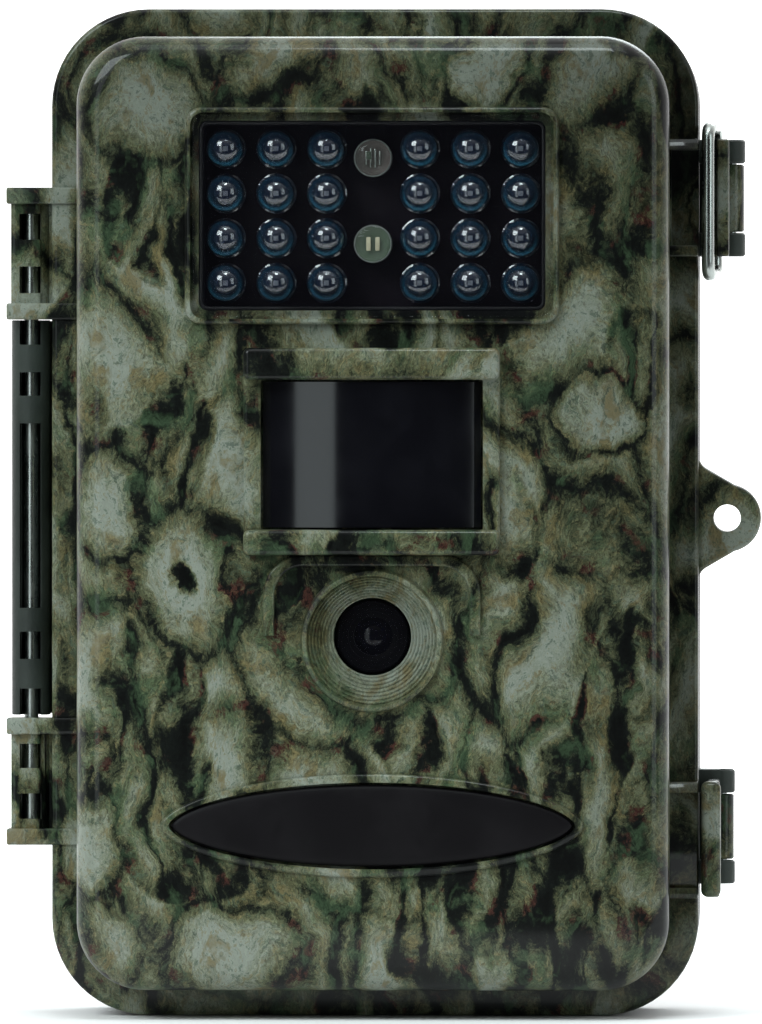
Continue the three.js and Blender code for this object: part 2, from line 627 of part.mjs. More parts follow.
for (const { name, x, z, halfX, halfZ } of SOCKETS) {
  const body = block([x - halfX, x + halfX], [MAIN_BOARD[1] + GAP, PANEL_BACK_Y + 0.4],
    [z - halfZ, z + halfZ]);
  const round = rodY(x, z, 2.2, -9, 0, 12);
  const flat = block([x - halfX + 0.6, x + halfX - 0.6], [-9, 0], [z - halfZ + 0.7, z + halfZ - 0.7]);
  place(name, cut(body, halfX === halfZ ? round : flat), halfX === halfZ ? blackPlastic : steel);
}

// A slotted screw whose head rests at seatY and whose shank ends at tipY.
function screw(x, z, seatY, tipY) {
  const { headR, headHeight, shankR, slotWidth, slotDepth } = SCREW;
  const outward = Math.sign(seatY - tipY);
  const top = seatY + outward * headHeight;
  const between = (a, b) => [Math.min(a, b), Math.max(a, b)];
  const head = rodY(x, z, headR, ...between(seatY, top), 8);
  const shank = rodY(x, z, shankR, ...between(tipY, seatY + outward * 0.2), 6);
  const slot = block([x - 1.7, x + 1.7], between(top - outward * slotDepth, top + outward),
    [z - slotWidth / 2, z + slotWidth / 2]);
  return cut(head.add(shank), slot);
}
PANEL_SCREWS.forEach(([x, z], i) => {
  place(`panel_screw_${i + 1}`, screw(x, z, PANEL_BACK_Y + GAP, PANEL_SCREW_TIP_Y), steel);
});

// ---------- rear shell ----------
function rearShell() {
  const outer = roundedSlab(inset(0, HOUSING_CORNER), REAR_FRONT_Y - 3, REAR_BACK_Y, 3);
  const trimmed = cut(outer, block([-60, 60], [-20, REAR_FRONT_Y], [-5, 150]));
  const mouth = slab(inset(REAR_LIP, HOUSING_CORNER - REAR_LIP), -20, REAR_FRONT_Y + REAR_LIP_DEPTH + 1);
  const cavity = slab(inset(REAR_WALL, HOUSING_CORNER - REAR_WALL), REAR_FRONT_Y + REAR_LIP_DEPTH,
    REAR_BACK_Y - REAR_WALL);
  return cut(trimmed, mouth, cavity);
}

function sealRing(outer, inner, frontY, backY) {
  return cut(slab(inset(outer, HOUSING_CORNER - outer), frontY, backY),
    slab(inset(inner, HOUSING_CORNER - inner), frontY - 1, backY + 1));
}

function treeRidge(side) {
  const { x, half, low, high, backY, pitch, tooth } = RIDGE;
  const points = [[REAR_BACK_Y - 1, low], [REAR_BACK_Y - 1, high]];
  const teeth = Math.round((high - low) / pitch);
  points.push([backY - 3, high]);
  for (let i = teeth - 1; i >= 0; i -= 1) {
    const z = low + i * pitch;
    points.push([backY - tooth, z + pitch], [backY, z + pitch * 0.7], [backY, z + pitch * 0.3],
      [backY - tooth, z]);
  }
  points.push([backY - 3, low]);
  const geometry = new THREE.ExtrudeGeometry(polygon(points), { depth: 2 * half, bevelEnabled: false });
  const turn = new THREE.Matrix4().makeBasis(
    new THREE.Vector3(0, 1, 0), new THREE.Vector3(0, 0, 1), new THREE.Vector3(1, 0, 0));
  return solid(geometry.applyMatrix4(turn).translate(side * x - half, 0, 0));
}

function strapSlots() {
  return block([-60, 60], [REAR_BACK_Y, RIDGE.backY - STRAP.bar], [STRAP.low, STRAP.high]);
}

// A ring on the back wall that holds the threaded insert.
function tripodBoss() {
  const { z, bossR, insertR, faceY } = TRIPOD;
  const frontY = REAR_BACK_Y + GAP;
  return cut(rodY(0, z, bossR, frontY, faceY, 24), rodY(0, z, insertR + GAP, frontY - 1, faceY + 1, 24));
}

function latchLugs({ x, y, low, high, lugR }) {
  const lug = (z0, z1) => {
    const round = rodZ(x, y, lugR, z0, z1);
    const arm = prism(polygon([[HOUSING_HALF - 1, y - lugR], [x, y - lugR], [x, y + lugR],
      [HOUSING_HALF - 1, y + lugR + 2.5]]), z0, z1);
    return round.add(arm);
  };
  return lug(low, low + LATCH_LUG).add(lug(high - LATCH_LUG, high));
}

function latchPinHole({ x, y, low, high }) {
  return rodZ(x, y, LATCH_PIN_R + GAP, low - 1, high + 1, 10);
}

function trayPosts() {
  const frontY = TRAY_TAB_Y + TRAY_TAB_THICK + GAP;
  return join(...TRAY_SCREWS.map(([x, z]) => rodY(x, z, 2.8, frontY, REAR_BACK_Y - 1, 8)));
}

function trayPostHoles() {
  return join(...TRAY_SCREWS.map(([x, z]) => rodY(x, z, 1.6, 0, REAR_BACK_Y - 2, 6)));
}

function jackHole() {
  return join(rodX(JACK.y, JACK.z, JACK.boreR, 40, 50, 16), rodX(JACK.y, JACK.z, 5, 44, 50, 16));
}

function rearCover() {
  const body = join(rearShell(), treeRidge(-1), treeRidge(1), padlockEar(REAR_FRONT_Y, EAR.rearY),
    rearKnuckle(HINGE_REAR_SPAN), latchLugs(UPPER), latchLugs(LOWER), trayPosts());
  return cut(body, sealRing(1.7, 3.5, REAR_FRONT_Y - 1, REAR_FRONT_Y + 1.7), strapSlots(), padlockHole(),
    hingeHole(), latchPinHole(UPPER), latchPinHole(LOWER), trayPostHoles(), jackHole());
}
place("rear_cover", rearCover(), rearPlastic);
place("gasket", sealRing(2, 3.2, REAR_FRONT_Y, REAR_FRONT_Y + 1.4), rubber);

place("hinge_pin", rodZ(HINGE.x, HINGE.y, HINGE.pinR, 23.2, 115.8, 12), steel);

place("tripod_boss", tripodBoss(), rearPlastic);

function tripodInsert() {
  const { z, insertR, boreR, faceY, floor } = TRIPOD;
  const [front, back] = [REAR_BACK_Y + GAP, faceY - GAP];
  return turned(0, z, [[boreR, back], [boreR, front + floor], [0, front + floor], [0, front],
    [insertR, front], [insertR, back], [boreR, back]], 20);
}
place("tripod_insert", tripodInsert(), brass);

// ---------- battery tray ----------
function bayCentres() {
  const centres = [];
  for (let row = 0; row < 2; row += 1) {
    for (let column = 0; column < 4; column += 1) {
      const x = (column - 1.5) * CELL.pitch;
      const z0 = TRAY.low + TRAY.wall + row * (CELL.bay + TRAY.wall);
      centres.push({ x, z0, z1: z0 + CELL.bay });
    }
  }
  return centres;
}

function batteryTray() {
  const top = TRAY.low + 3 * TRAY.wall + 2 * CELL.bay;
  const radius = CELL.r + CELL.clear;
  const body = block([-TRAY.halfX, TRAY.halfX], [TRAY.frontY, TRAY.backY - GAP], [TRAY.low, top]);
  const bays = bayCentres().flatMap(({ x, z0, z1 }) => [
    rodZ(x, CELL.y, radius, z0, z1, 14),
    block([x - radius, x + radius], [TRAY.frontY - 1, CELL.y], [z0, z1]),
  ]);
  const tabs = TRAY_SCREWS.map(([x, z]) => block([Math.min(x, x - Math.sign(x) * 5) - 2.4,
    Math.max(x, x - Math.sign(x) * 5) + 2.4], [TRAY_TAB_Y, TRAY_TAB_Y + TRAY_TAB_THICK], [z - 3.5, z + 3.5]));
  const sides = cut(join(...tabs), block([-TRAY.halfX + 0.5, TRAY.halfX - 0.5], [0, 20], [0, 140]));
  const holes = TRAY_SCREWS.map(([x, z]) => rodY(x, z, 1.6, 0, 20, 10));
  return cut(body.add(sides), ...bays, ...holes);
}
place("battery_tray", batteryTray(), blackPlastic);

// A conical spring on one end of a bay.
function coil(x, z, height, direction) {
  class Cone extends THREE.Curve {
    getPoint(t, target = new THREE.Vector3()) {
      const angle = t * 5 * Math.PI;
      const r = 3.4 - 1.5 * t;
      return target.set(x + r * Math.cos(angle), CELL.y + r * Math.sin(angle), z + direction * height * t);
    }
  }
  const section = new THREE.Shape();
  section.absarc(0, 0, 0.45, 0, 2 * Math.PI);
  const settings = { steps: 15, extrudePath: new Cone(), curveSegments: 2, bevelEnabled: false };
  return solid(new THREE.ExtrudeGeometry(section, settings));
}

// A leaf of spring steel across one end of a row, with a conical spring in every second bay.
function contactStrip(z, direction, odd) {
  const thickness = 0.5;
  const offset = GAP * direction;
  const faces = [z + offset, z + offset + thickness * direction].sort((a, b) => a - b);
  let strip = null;
  for (let column = 0; column < 4; column += 1) {
    const x = (column - 1.5) * CELL.pitch;
    const leaf = block([x - 5, x + 5], [TRAY.frontY + 0.4, 14], faces);
    strip = strip ? strip.add(leaf) : leaf;
    if (column % 2 === odd) {
      strip = strip.add(coil(x, z + offset + 0.3 * direction, 4.4, direction));
    }
  }
  const bridge = block([-1.5 * CELL.pitch, 1.5 * CELL.pitch], [TRAY.frontY - 0.9, TRAY.frontY - 0.4], faces);
  const risers = [-1.5, -0.5, 0.5, 1.5].map((step) => block(
    [step * CELL.pitch - 3, step * CELL.pitch + 3], [TRAY.frontY - 0.9, TRAY.frontY + 0.6], faces));
  return join(strip, bridge, ...risers);
}
const rowLow = TRAY.low + TRAY.wall;
const rowHigh = rowLow + CELL.bay + TRAY.wall;
place("contact_strip_1", contactStrip(rowLow, 1, 0), steel);
place("contact_strip_2", contactStrip(rowLow + CELL.bay, -1, 1), steel);
place("contact_strip_3", contactStrip(rowHigh, 1, 0), steel);
place("contact_strip_4", contactStrip(rowHigh + CELL.bay, -1, 1), steel);

TRAY_SCREWS.forEach(([x, z], i) => {
  place(`tray_screw_${i + 1}`, screw(x, z, TRAY_TAB_Y - GAP, TRAY_SCREW_TIP_Y), steel);
});

// ---------- power socket and its plug on the right side ----------
function powerJack() {
  const { z, y, bodyHalf } = JACK;
  const body = block([TRAY.halfX + GAP, 42.2], [y - bodyHalf, y + bodyHalf], [z - bodyHalf, z + bodyHalf]);
  return cut(body, rodX(y, z, JACK.boreR, 36, 50, 16));
}
place("power_jack", powerJack(), blackPlastic);
place("port_plug", join(rodX(JACK.y, JACK.z, 4.6, 44.3, 44.95, 16), rodX(JACK.y, JACK.z, 2.5, 38, 44.5, 16)),
  rubber);

// ---------- latches ----------
function latchLever(latch, low, high) {
  const { x, y, barrelR, stripX, frontY } = latch;
  const barrelLow = latch.low + LATCH_LUG + GAP / 2;
  const barrelHigh = latch.high - LATCH_LUG - GAP / 2;
  const barrel = rodZ(x, y, barrelR, barrelLow, barrelHigh);
  const stem = block([stripX, stripX + LATCH_STRIP], [y - 3, y], [barrelLow, barrelHigh]);
  const strip = block([stripX, stripX + LATCH_STRIP], [frontY, y - 2.6], [low, high]);
  return join(barrel, stem, strip);
}

function upperLatch() {
  const { pivotX, pivotY, wireR } = BAIL;
  const boss = rodZ(pivotX, pivotY, BAIL_BOSS_R, UPPER.low, UPPER.high, 14);
  const holeR = wireR + GAP;
  const holes = [rodZ(pivotX, pivotY, holeR, UPPER.low - 1, UPPER.low + BAIL_HOLE_DEPTH, 12),
    rodZ(pivotX, pivotY, holeR, UPPER.high - BAIL_HOLE_DEPTH, UPPER.high + 1, 12)];
  return cut(join(latchLever(UPPER, UPPER.low, UPPER.high), boss), latchPinHole(UPPER), ...holes);
}
place("upper_latch", upperLatch(), camoPlastic);

function bail() {
  const { pivotX, pivotY, frontX, frontY, wireR, low } = BAIL;
  const tip = 3;
  return bentWire([
    [pivotX, pivotY, UPPER.high - tip], [pivotX, pivotY, BAIL_HIGH], [frontX, frontY, BAIL_HIGH],
    [frontX, frontY, low], [pivotX, pivotY, low], [pivotX, pivotY, UPPER.low + tip]], wireR, 1.2);
}
place("upper_bail", bail(), steel);

function lowerLatch() {
  const { x, y, corner, edge } = LOWER_LIP;
  const lever = latchLever(LOWER, ...LOWER_LEVER);
  const lip = roundedSlab(roundedRect(...x, ...LOWER_LEVER, corner), ...y, edge, 2, 3);
  return cut(join(lever, lip), latchPinHole(LOWER));
}
place("lower_latch", lowerLatch(), camoPlastic);

for (const [name, { x, y, low, high }] of [["upper_latch_pin", UPPER], ["lower_latch_pin", LOWER]]) {
  place(name, rodZ(x, y, LATCH_PIN_R, low + 0.2, high - 0.2, 10), steel);
}

export default camera;
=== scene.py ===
import json
import math

import bmesh
import bpy
from mathutils import Matrix, Vector


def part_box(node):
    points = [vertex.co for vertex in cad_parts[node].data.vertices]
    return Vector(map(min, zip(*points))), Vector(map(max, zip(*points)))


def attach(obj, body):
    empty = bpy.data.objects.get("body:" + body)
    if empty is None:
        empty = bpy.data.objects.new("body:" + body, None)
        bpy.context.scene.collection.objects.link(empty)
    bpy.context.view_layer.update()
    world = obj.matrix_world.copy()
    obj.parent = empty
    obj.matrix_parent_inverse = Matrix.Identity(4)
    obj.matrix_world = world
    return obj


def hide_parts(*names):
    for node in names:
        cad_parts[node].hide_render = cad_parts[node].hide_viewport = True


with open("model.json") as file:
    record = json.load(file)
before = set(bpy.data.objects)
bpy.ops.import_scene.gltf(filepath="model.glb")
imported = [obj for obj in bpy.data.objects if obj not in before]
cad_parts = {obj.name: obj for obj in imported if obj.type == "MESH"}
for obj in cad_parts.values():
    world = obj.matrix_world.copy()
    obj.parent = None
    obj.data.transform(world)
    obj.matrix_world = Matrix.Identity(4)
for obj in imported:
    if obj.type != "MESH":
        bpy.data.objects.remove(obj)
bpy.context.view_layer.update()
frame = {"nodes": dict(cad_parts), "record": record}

# ---------- driving sizes, in millimetres ----------
# One millimetre, in the scene's metres
MM = 0.001

# Both shells from the front: half their width, their height, and the radius of their corners
HALF = 45.0
TOP = 140.0
CORNER = 13.5

# Y of the flange's front, of the faces where the shells meet, and of the back
FLANGE_Y = -10.0
DOOR_BACK_Y = -4.15
REAR_FRONT_Y = -3.85
REAR_BACK_Y = 20.0

# The raised dome of the door: its front, its inset from the outline, its rounded rim and its wall
DOME_Y = -25.0
DOME_INSET = 4.0
DOME_ROUND = 3.6
DOOR_WALL = 2.7

# Front faces of what stands on the dome
BADGE_RIM_Y = -25.7
RING_Y = -26.0
BEZEL_Y = -26.4
HOOD_BAR_Y = -28.9

# The hinge: its axis in X and Y, its barrel, the heights of its knuckles and of their end plates
PIN = (-48.0, -7.0)
BARREL_R = 2.7
DOOR_SPANS = ((99.1, 112.9), (26.0, 39.1))
REAR_SPAN = (41.9, 96.6)
PLATE_HEIGHT = 2.3

# Windows in the knuckles, as fractions of a knuckle's height
DOOR_WINDOWS = ((0.1, 0.37), (0.64, 0.9))
REAR_WINDOWS = ((-0.01, 0.065), (0.14, 0.21), (0.27, 0.74), (0.81, 0.87), (0.94, 1.01))

# The padlock ear: its centre in X and Z, its tip, its half height at the wall, and its hole
EAR_CENTRE = (48.95, 69.2)
EAR_TIP_R = 4.7
EAR_ROOT = 7.7
EAR_HOLE_R = 1.9

# Each latch: the heights of its catch and of its lugs, and its pin in X and Y
UPPER_CATCH = (105.6, 121.9)
LOWER_CATCH = (16.4, 32.6)
UPPER_LUGS = (105.6, 121.9)
LOWER_LUGS = (18.0, 34.0)
UPPER_PIN = (49.4, 2.0)
LOWER_PIN = (48.1, 2.0)
LATCH_BORE_R = 1.1

# The motion sensor's hood, from its middle to a side
HOOD_HALF = 17.7

# The lamps: the first column's distance from the middle, and the pitch across and up
LAMP_GAP = 6.45
LAMP_PITCH = (7.0, 6.2)

# The keys: the width of the collar round each cap
KEY_COLLAR = 0.8
KEY_NODES = ("key_up", "key_down", "key_left", "key_right", "key_ok", "key_menu", "key_replay")

# The ridges on the back, from the middle, and Y of the battery cells' axes
RIDGE_X = 30.0
CELL_Y = 9.0

# Colour of the lights, as red, green and blue
DAYLIGHT = (0.89, 1.0, 1.01)


# ---------- reading the frame ----------
def span(node):
    """Lowest and highest corner of a CAD node, as three (low, high) pairs in millimetres."""
    low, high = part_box(node)
    return [(a / MM, b / MM) for a, b in zip(low, high)]


def middle(node):
    return [(a + b) / 2 for a, b in span(node)]


BODY_OF = {node: body for body, nodes in frame["record"]["behaviour"]["bodies"].items() for node in nodes}


# ---------- outlines in the X-Z plane ----------
def rect(x0, x1, z0, z1, radius, count=10):
    centres = ((x1 - radius, z0 + radius, -90), (x1 - radius, z1 - radius, 0),
               (x0 + radius, z1 - radius, 90), (x0 + radius, z0 + radius, 180))
    points = []
    for cx, cz, start in centres:
        for i in range(count + 1):
            angle = math.radians(start + 90 * i / count)
            points.append((cx + radius * math.cos(angle), cz + radius * math.sin(angle)))
    return points


def rect_outline(x0, x1, z0, z1, radius, count=10):
    def at(inset):
        return rect(x0 + inset, x1 - inset, z0 + inset, z1 - inset, max(radius - inset, 0.02), count)
    return at


def housing_outline(inset, count=14):
    return rect_outline(-HALF + inset, HALF - inset, inset, TOP - inset, CORNER - inset, count)


def oval_outline(z, half_x, half_z, count=96):
    """An ellipse whose ends draw to a soft point."""
    def at(inset):
        points = []
        for i in range(count):
            angle = 2 * math.pi * i / count
            across, up = math.cos(angle), math.sin(angle)
            lift = math.copysign(abs(up) ** 1.18, up)
            points.append(((half_x - inset) * across, z + (half_z - inset) * lift))
        return points
    return at


# ---------- mesh building ----------
def new_object(name, bm):
    bmesh.ops.remove_doubles(bm, verts=bm.verts, dist=1e-4)
    bmesh.ops.recalc_face_normals(bm, faces=bm.faces)
    bmesh.ops.scale(bm, vec=(MM, MM, MM), verts=bm.verts)
    mesh = bpy.data.meshes.new(name)
    bm.to_mesh(mesh)
    bm.free()
    piece = bpy.data.objects.new(name, mesh)
    bpy.context.scene.collection.objects.link(piece)
    return piece


def shade(piece, angle=30):
    bm = bmesh.new()
    bm.from_mesh(piece.data)
    limit = math.radians(angle)
    for face in bm.faces:
        face.smooth = True
    for edge in bm.edges:
        edge.smooth = len(edge.link_faces) == 2 and edge.calc_face_angle(0) < limit
    bm.to_mesh(piece.data)
    bm.free()
    return piece


def loft(name, rings, closed=False):
    """Joins rings of 3-D points with quads; the ends are capped unless the rings close on themselves."""
    bm = bmesh.new()
    rows = [[bm.verts.new(point) for point in ring] for ring in rings]
    pairs = list(zip(rows, rows[1:])) + ([(rows[-1], rows[0])] if closed else [])
    for low, high in pairs:
        for i in range(len(low)):
            j = (i + 1) % len(low)
            bm.faces.new((low[i], low[j], high[j], high[i]))
    if not closed:
        bm.faces.new(rows[0])
        bm.faces.new(list(reversed(rows[-1])))
    return new_object(name, bm)


def slab(name, outline, front, back, front_round=0.0, back_round=0.0, steps=5):
    """A plate with the outline, from Y = front to Y = back, its two rims rounded over."""
    rings = []
    for i in range(steps + 1):
        angle = math.pi / 2 * i / steps
        rings.append((front_round * (1 - math.sin(angle)), front + front_round * (1 - math.cos(angle))))
        if front_round == 0:
            break
    for i in range(steps + 1):
        angle = math.pi / 2 * i / steps
        rings.append((back_round * (1 - math.cos(angle)), back - back_round * (1 - math.sin(angle))))
        if back_round == 0:
            break
    return loft(name, [[(x, y, z) for x, z in outline(inset)] for inset, y in rings])


def frame_ring(name, outer, inner, front, back, rounding=0.3):
    """A picture-frame ring between two outlines with the same number of points."""
    steps = 3
    rings = [(outer, 0.0, back)]
    for i in range(steps + 1):
        angle = math.pi / 2 * i / steps
        rings.append((outer, rounding * (1 - math.cos(angle)), front + rounding * (1 - math.sin(angle))))
    for i in range(steps + 1):
        angle = math.pi / 2 * i / steps
        rings.append((inner, -rounding * (1 - math.sin(angle)), front + rounding * (1 - math.cos(angle))))
    rings.append((inner, 0.0, back))
    return loft(name, [[(x, y, z) for x, z in line(inset)] for line, inset, y in rings], closed=True)


def axis_matrix(origin, axis):
    return Matrix.Translation(origin) @ Vector(axis).to_track_quat("Z", "Y").to_matrix().to_4x4()


def lathe(name, origin, axis, profile, sides=48):
    """Turns (radius, height) points round an axis; the profile starts and ends on it, or closes."""
    bm = bmesh.new()
    turn = axis_matrix(origin, axis)
    rows = []
    for radius, height in profile:
        if radius < 1e-6:
            rows.append([bm.verts.new(turn @ Vector((0, 0, height)))])
            continue
        ring = []
        for i in range(sides):
            angle = 2 * math.pi * i / sides
            point = Vector((radius * math.cos(angle), radius * math.sin(angle), height))
            ring.append(bm.verts.new(turn @ point))
        rows.append(ring)
    pairs = list(zip(rows, rows[1:]))
    if profile[0][0] > 1e-6:
        pairs.append((rows[-1], rows[0]))
    for low, high in pairs:
        for i in range(sides):
            j = (i + 1) % sides
            corners = [low[i % len(low)], low[j % len(low)], high[j % len(high)], high[i % len(high)]]
            unique = list(dict.fromkeys(corners))
            if len(unique) > 2:
                bm.faces.new(unique)
    return new_object(name, bm)


def turned(name, x, z, profile, sides=48):
    """A lathed piece whose axis runs front to back; its profile is in (radius, Y)."""
    return lathe(name, (x, 0, z), (0, 1, 0), profile, sides)


def rod(name, start, end, radius, edge=0.15, sides=32):
    length = (Vector(end) - Vector(start)).length
    axis = (Vector(end) - Vector(start)).normalized()
    profile = [(0, 0), (radius - edge, 0), (radius, edge), (radius, length - edge),
               (radius - edge, length), (0, length)]
    return lathe(name, start, axis, profile, sides)


def extrude(name, outline, plane, low, high, edge=0.0, segments=2):
    """Raises a polygon drawn in the XY, XZ or YZ plane along the third axis, then softens its edges."""
    order = {"XY": (0, 1, 2), "XZ": (0, 2, 1), "YZ": (1, 2, 0)}[plane]
    bm = bmesh.new()
    rows = []
    for level in (low, high):
        row = []
        for a, b in outline:
            point = [0.0, 0.0, 0.0]
            point[order[0]], point[order[1]], point[order[2]] = a, b, level
            row.append(bm.verts.new(point))
        rows.append(row)
    count = len(outline)
    for i in range(count):
        j = (i + 1) % count
        bm.faces.new((rows[0][i], rows[0][j], rows[1][j], rows[1][i]))
    bm.faces.new(rows[0])
    bm.faces.new(list(reversed(rows[1])))
    if edge:
        bmesh.ops.recalc_face_normals(bm, faces=bm.faces)
        sharp = [e for e in bm.edges if e.calc_face_angle(0) > math.radians(25)]
        bmesh.ops.bevel(bm, geom=sharp, offset=edge, segments=segments, profile=0.5,
                        affect="EDGES", clamp_overlap=True)
    return new_object(name, bm)


def box(name, xs, ys, zs, edge=0.2, segments=2):
    corners = [(xs[0], ys[0]), (xs[1], ys[0]), (xs[1], ys[1]), (xs[0], ys[1])]
    return extrude(name, corners, "XY", zs[0], zs[1], edge, segments)


def rounded_path(points, bend, steps=8):
    """Straight runs joined by round bends."""
    points = [Vector(point) for point in points]
    path = [points[0]]
    for before, corner, after in zip(points, points[1:], points[2:]):
        start = corner + (before - corner).normalized() * bend
        end = corner + (after - corner).normalized() * bend
        for i in range(steps + 1):
            t = i / steps
            path.append(start * (1 - t) ** 2 + corner * 2 * t * (1 - t) + end * t ** 2)
    path.append(points[-1])
    return path


def wire(name, path, radius, sides, dome=0.3):
    """A round bar swept along a path, with slightly domed ends."""
    bm = bmesh.new()
    rows = []
    tangent = (path[1] - path[0]).normalized()
    normal = tangent.orthogonal().normalized()
    for i, point in enumerate(path):
        ahead = path[min(i + 1, len(path) - 1)] - path[max(i - 1, 0)]
        heading = ahead.normalized()
        normal = (tangent.rotation_difference(heading) @ normal).normalized()
        tangent = heading
        side = tangent.cross(normal)
        grow = (1 - dome, 1.0)[0 < i < len(path) - 1]
        ring = []
        for k in range(sides):
            angle = 2 * math.pi * k / sides
            outward = normal * math.cos(angle) + side * math.sin(angle)
            ring.append(bm.verts.new(point + grow * radius * outward))
        rows.append(ring)
    for low, high in zip(rows, rows[1:]):
        for k in range(sides):
            j = (k + 1) % sides
            bm.faces.new((low[k], low[j], high[j], high[k]))
    bm.faces.new(rows[0])
    bm.faces.new(list(reversed(rows[-1])))
    return new_object(name, bm)


def helix(centre, start, end, radii, turns, count=90):
    x, y = centre
    path = []
    for i in range(count + 1):
        t = i / count
        radius = radii[0] + (radii[1] - radii[0]) * t
        angle = 2 * math.pi * turns * t
        path.append(Vector((x + radius * math.cos(angle), y + radius * math.sin(angle),
                            start + (end - start) * t)))
    return path


def combine(piece, others, operation):
    """Applies one exact boolean of a group of solids to a piece, and removes them."""
    group = bpy.data.collections.new("operands")
    for other in others:
        group.objects.link(other)
    modifier = piece.modifiers.new("combine", "BOOLEAN")
    modifier.operation = operation
    modifier.operand_type = "COLLECTION"
    modifier.collection = group
    modifier.solver = "EXACT"
    modifier.use_self = len(others) > 1
    bpy.context.view_layer.update()
    evaluated = piece.evaluated_get(bpy.context.evaluated_depsgraph_get())
    mesh = bpy.data.meshes.new_from_object(evaluated)
    piece.modifiers.clear()
    old = piece.data
    piece.data = mesh
    mesh.name = piece.name
    bpy.data.meshes.remove(old)
    for other in others:
        bpy.data.meshes.remove(other.data)
    bpy.data.collections.remove(group)
    return piece


def join(piece, *others):
    return combine(piece, list(others), "UNION")


def cut(piece, *others):
    return combine(piece, list(others), "DIFFERENCE")


# ---------- materials ----------
class Look:
    """A procedural material: a Principled shader plus the nodes that drive it, in millimetres."""

    def __init__(self, name, color, roughness=0.5, metallic=0.0, **sockets):
        self.material = bpy.data.materials.new(name)
        self.material.use_nodes = True
        self.tree = self.material.node_tree
        self.shader = self.tree.nodes["Principled BSDF"]
        self.set("Base Color", (*color, 1.0))
        self.set("Roughness", roughness)
        self.set("Metallic", metallic)
        for key, value in sockets.items():
            self.set(key.replace("_", " "), value)
        self.where = self.add("ShaderNodeTexCoord").outputs["Object"]

    def set(self, socket, value):
        self.shader.inputs[socket].default_value = value

    def add(self, kind, **settings):
        node = self.tree.nodes.new(kind)
        for key, value in settings.items():
            setattr(node, key, value)
        return node

    def feed(self, value, socket):
        if hasattr(value, "links"):
            self.tree.links.new(value, socket)
        else:
            socket.default_value = value

    def vector(self, operation, a, b=None, scale=None):
        node = self.add("ShaderNodeVectorMath", operation=operation)
        self.feed(a, node.inputs[0])
        if b is not None:
            self.feed(b, node.inputs[1])
        if scale is not None:
            self.feed(scale, node.inputs["Scale"])
        return node.outputs["Value" if operation in ("LENGTH", "DISTANCE", "DOT_PRODUCT") else "Vector"]

    def math(self, operation, a, b=0.0, clamp=False):
        node = self.add("ShaderNodeMath", operation=operation, use_clamp=clamp)
        self.feed(a, node.inputs[0])
        self.feed(b, node.inputs[1])
        return node.outputs[0]

    def plus(self, a, b):
        return self.math("ADD", a, b)

    def minus(self, a, b):
        return self.math("SUBTRACT", a, b)

    def times(self, a, b):
        return self.math("MULTIPLY", a, b)

    def axes(self):
        """The X, Y and Z of the place on the piece."""
        node = self.add("ShaderNodeSeparateXYZ")
        self.feed(self.where, node.inputs[0])
        return node.outputs

    def stretch(self, x, y, z, source=None):
        """The place on the piece, in units of x, y and z millimetres."""
        factors = (1 / (x * MM), 1 / (y * MM), 1 / (z * MM))
        return self.vector("MULTIPLY", self.where if source is None else source, factors)

    def noise(self, place, detail=3.0, roughness=0.5, color=False):
        node = self.add("ShaderNodeTexNoise")
        self.feed(place, node.inputs["Vector"])
        node.inputs["Scale"].default_value = 1.0
        node.inputs["Detail"].default_value = detail
        node.inputs["Roughness"].default_value = roughness
        return node.outputs["Color" if color else 0]

    def cell_edges(self, place):
        """How far a place is from the edge of its cell in a loose honeycomb."""
        node = self.add("ShaderNodeTexVoronoi", feature="DISTANCE_TO_EDGE")
        self.feed(place, node.inputs["Vector"])
        node.inputs["Scale"].default_value = 1.0
        return node.outputs["Distance"]

    def remap(self, value, low, high, to_low=0.0, to_high=1.0, smooth=True):
        node = self.add("ShaderNodeMapRange", interpolation_type="SMOOTHSTEP" if smooth else "LINEAR")
        self.feed(value, node.inputs["Value"])
        limits = {"From Min": low, "From Max": high, "To Min": to_low, "To Max": to_high}
        for socket, number in limits.items():
            node.inputs[socket].default_value = number
        return node.outputs["Result"]

    def ramp(self, value, stops):
        node = self.add("ShaderNodeValToRGB")
        elements = node.color_ramp.elements
        while len(elements) < len(stops):
            elements.new(0.5)
        for element, (place, color) in zip(elements, stops):
            element.position = place
            element.color = (*color, 1.0)
        self.feed(value, node.inputs["Fac"])
        return node.outputs["Color"]

    def mix(self, factor, a, b, blend="MIX"):
        node = self.add("ShaderNodeMix", data_type="RGBA", blend_type=blend)
        self.feed(factor, node.inputs["Factor"])
        for value, socket in ((a, node.inputs["A"]), (b, node.inputs["B"])):
            self.feed((*value, 1.0) if isinstance(value, tuple) and len(value) == 3 else value, socket)
        return node.outputs["Result"]

    def color(self, value):
        self.feed(value, self.shader.inputs["Base Color"])

    def rough(self, value):
        self.feed(value, self.shader.inputs["Roughness"])

    def bump(self, height, distance, strength):
        """Raises the surface by up to distance, in millimetres."""
        node = self.add("ShaderNodeBump")
        node.inputs["Strength"].default_value = strength
        node.inputs["Distance"].default_value = distance * MM
        self.feed(height, node.inputs["Height"])
        self.feed(node.outputs["Normal"], self.shader.inputs["Normal"])


# Knots in the printed bark: centre x, centre z, half width, half height, darkness of the eye
KNOTS = ((-25.5, 62.0, 7.6, 11.0, 1.0), (-32.0, 127.0, 8.4, 8.8, 0.0), (31.5, 84.5, 6.5, 5.0, 0.4),
         (17.0, 130.5, 4.8, 6.4, 0.0), (-35.5, 70.5, 4.5, 8.0, 0.0), (-21.0, 8.5, 9.0, 7.4, 0.0),
         (1.0, 53.0, 11.5, 11.5, 0.0), (-40.0, 24.0, 5.0, 7.0, 0.0), (48.5, 114.0, 3.0, 6.0, 0.0))

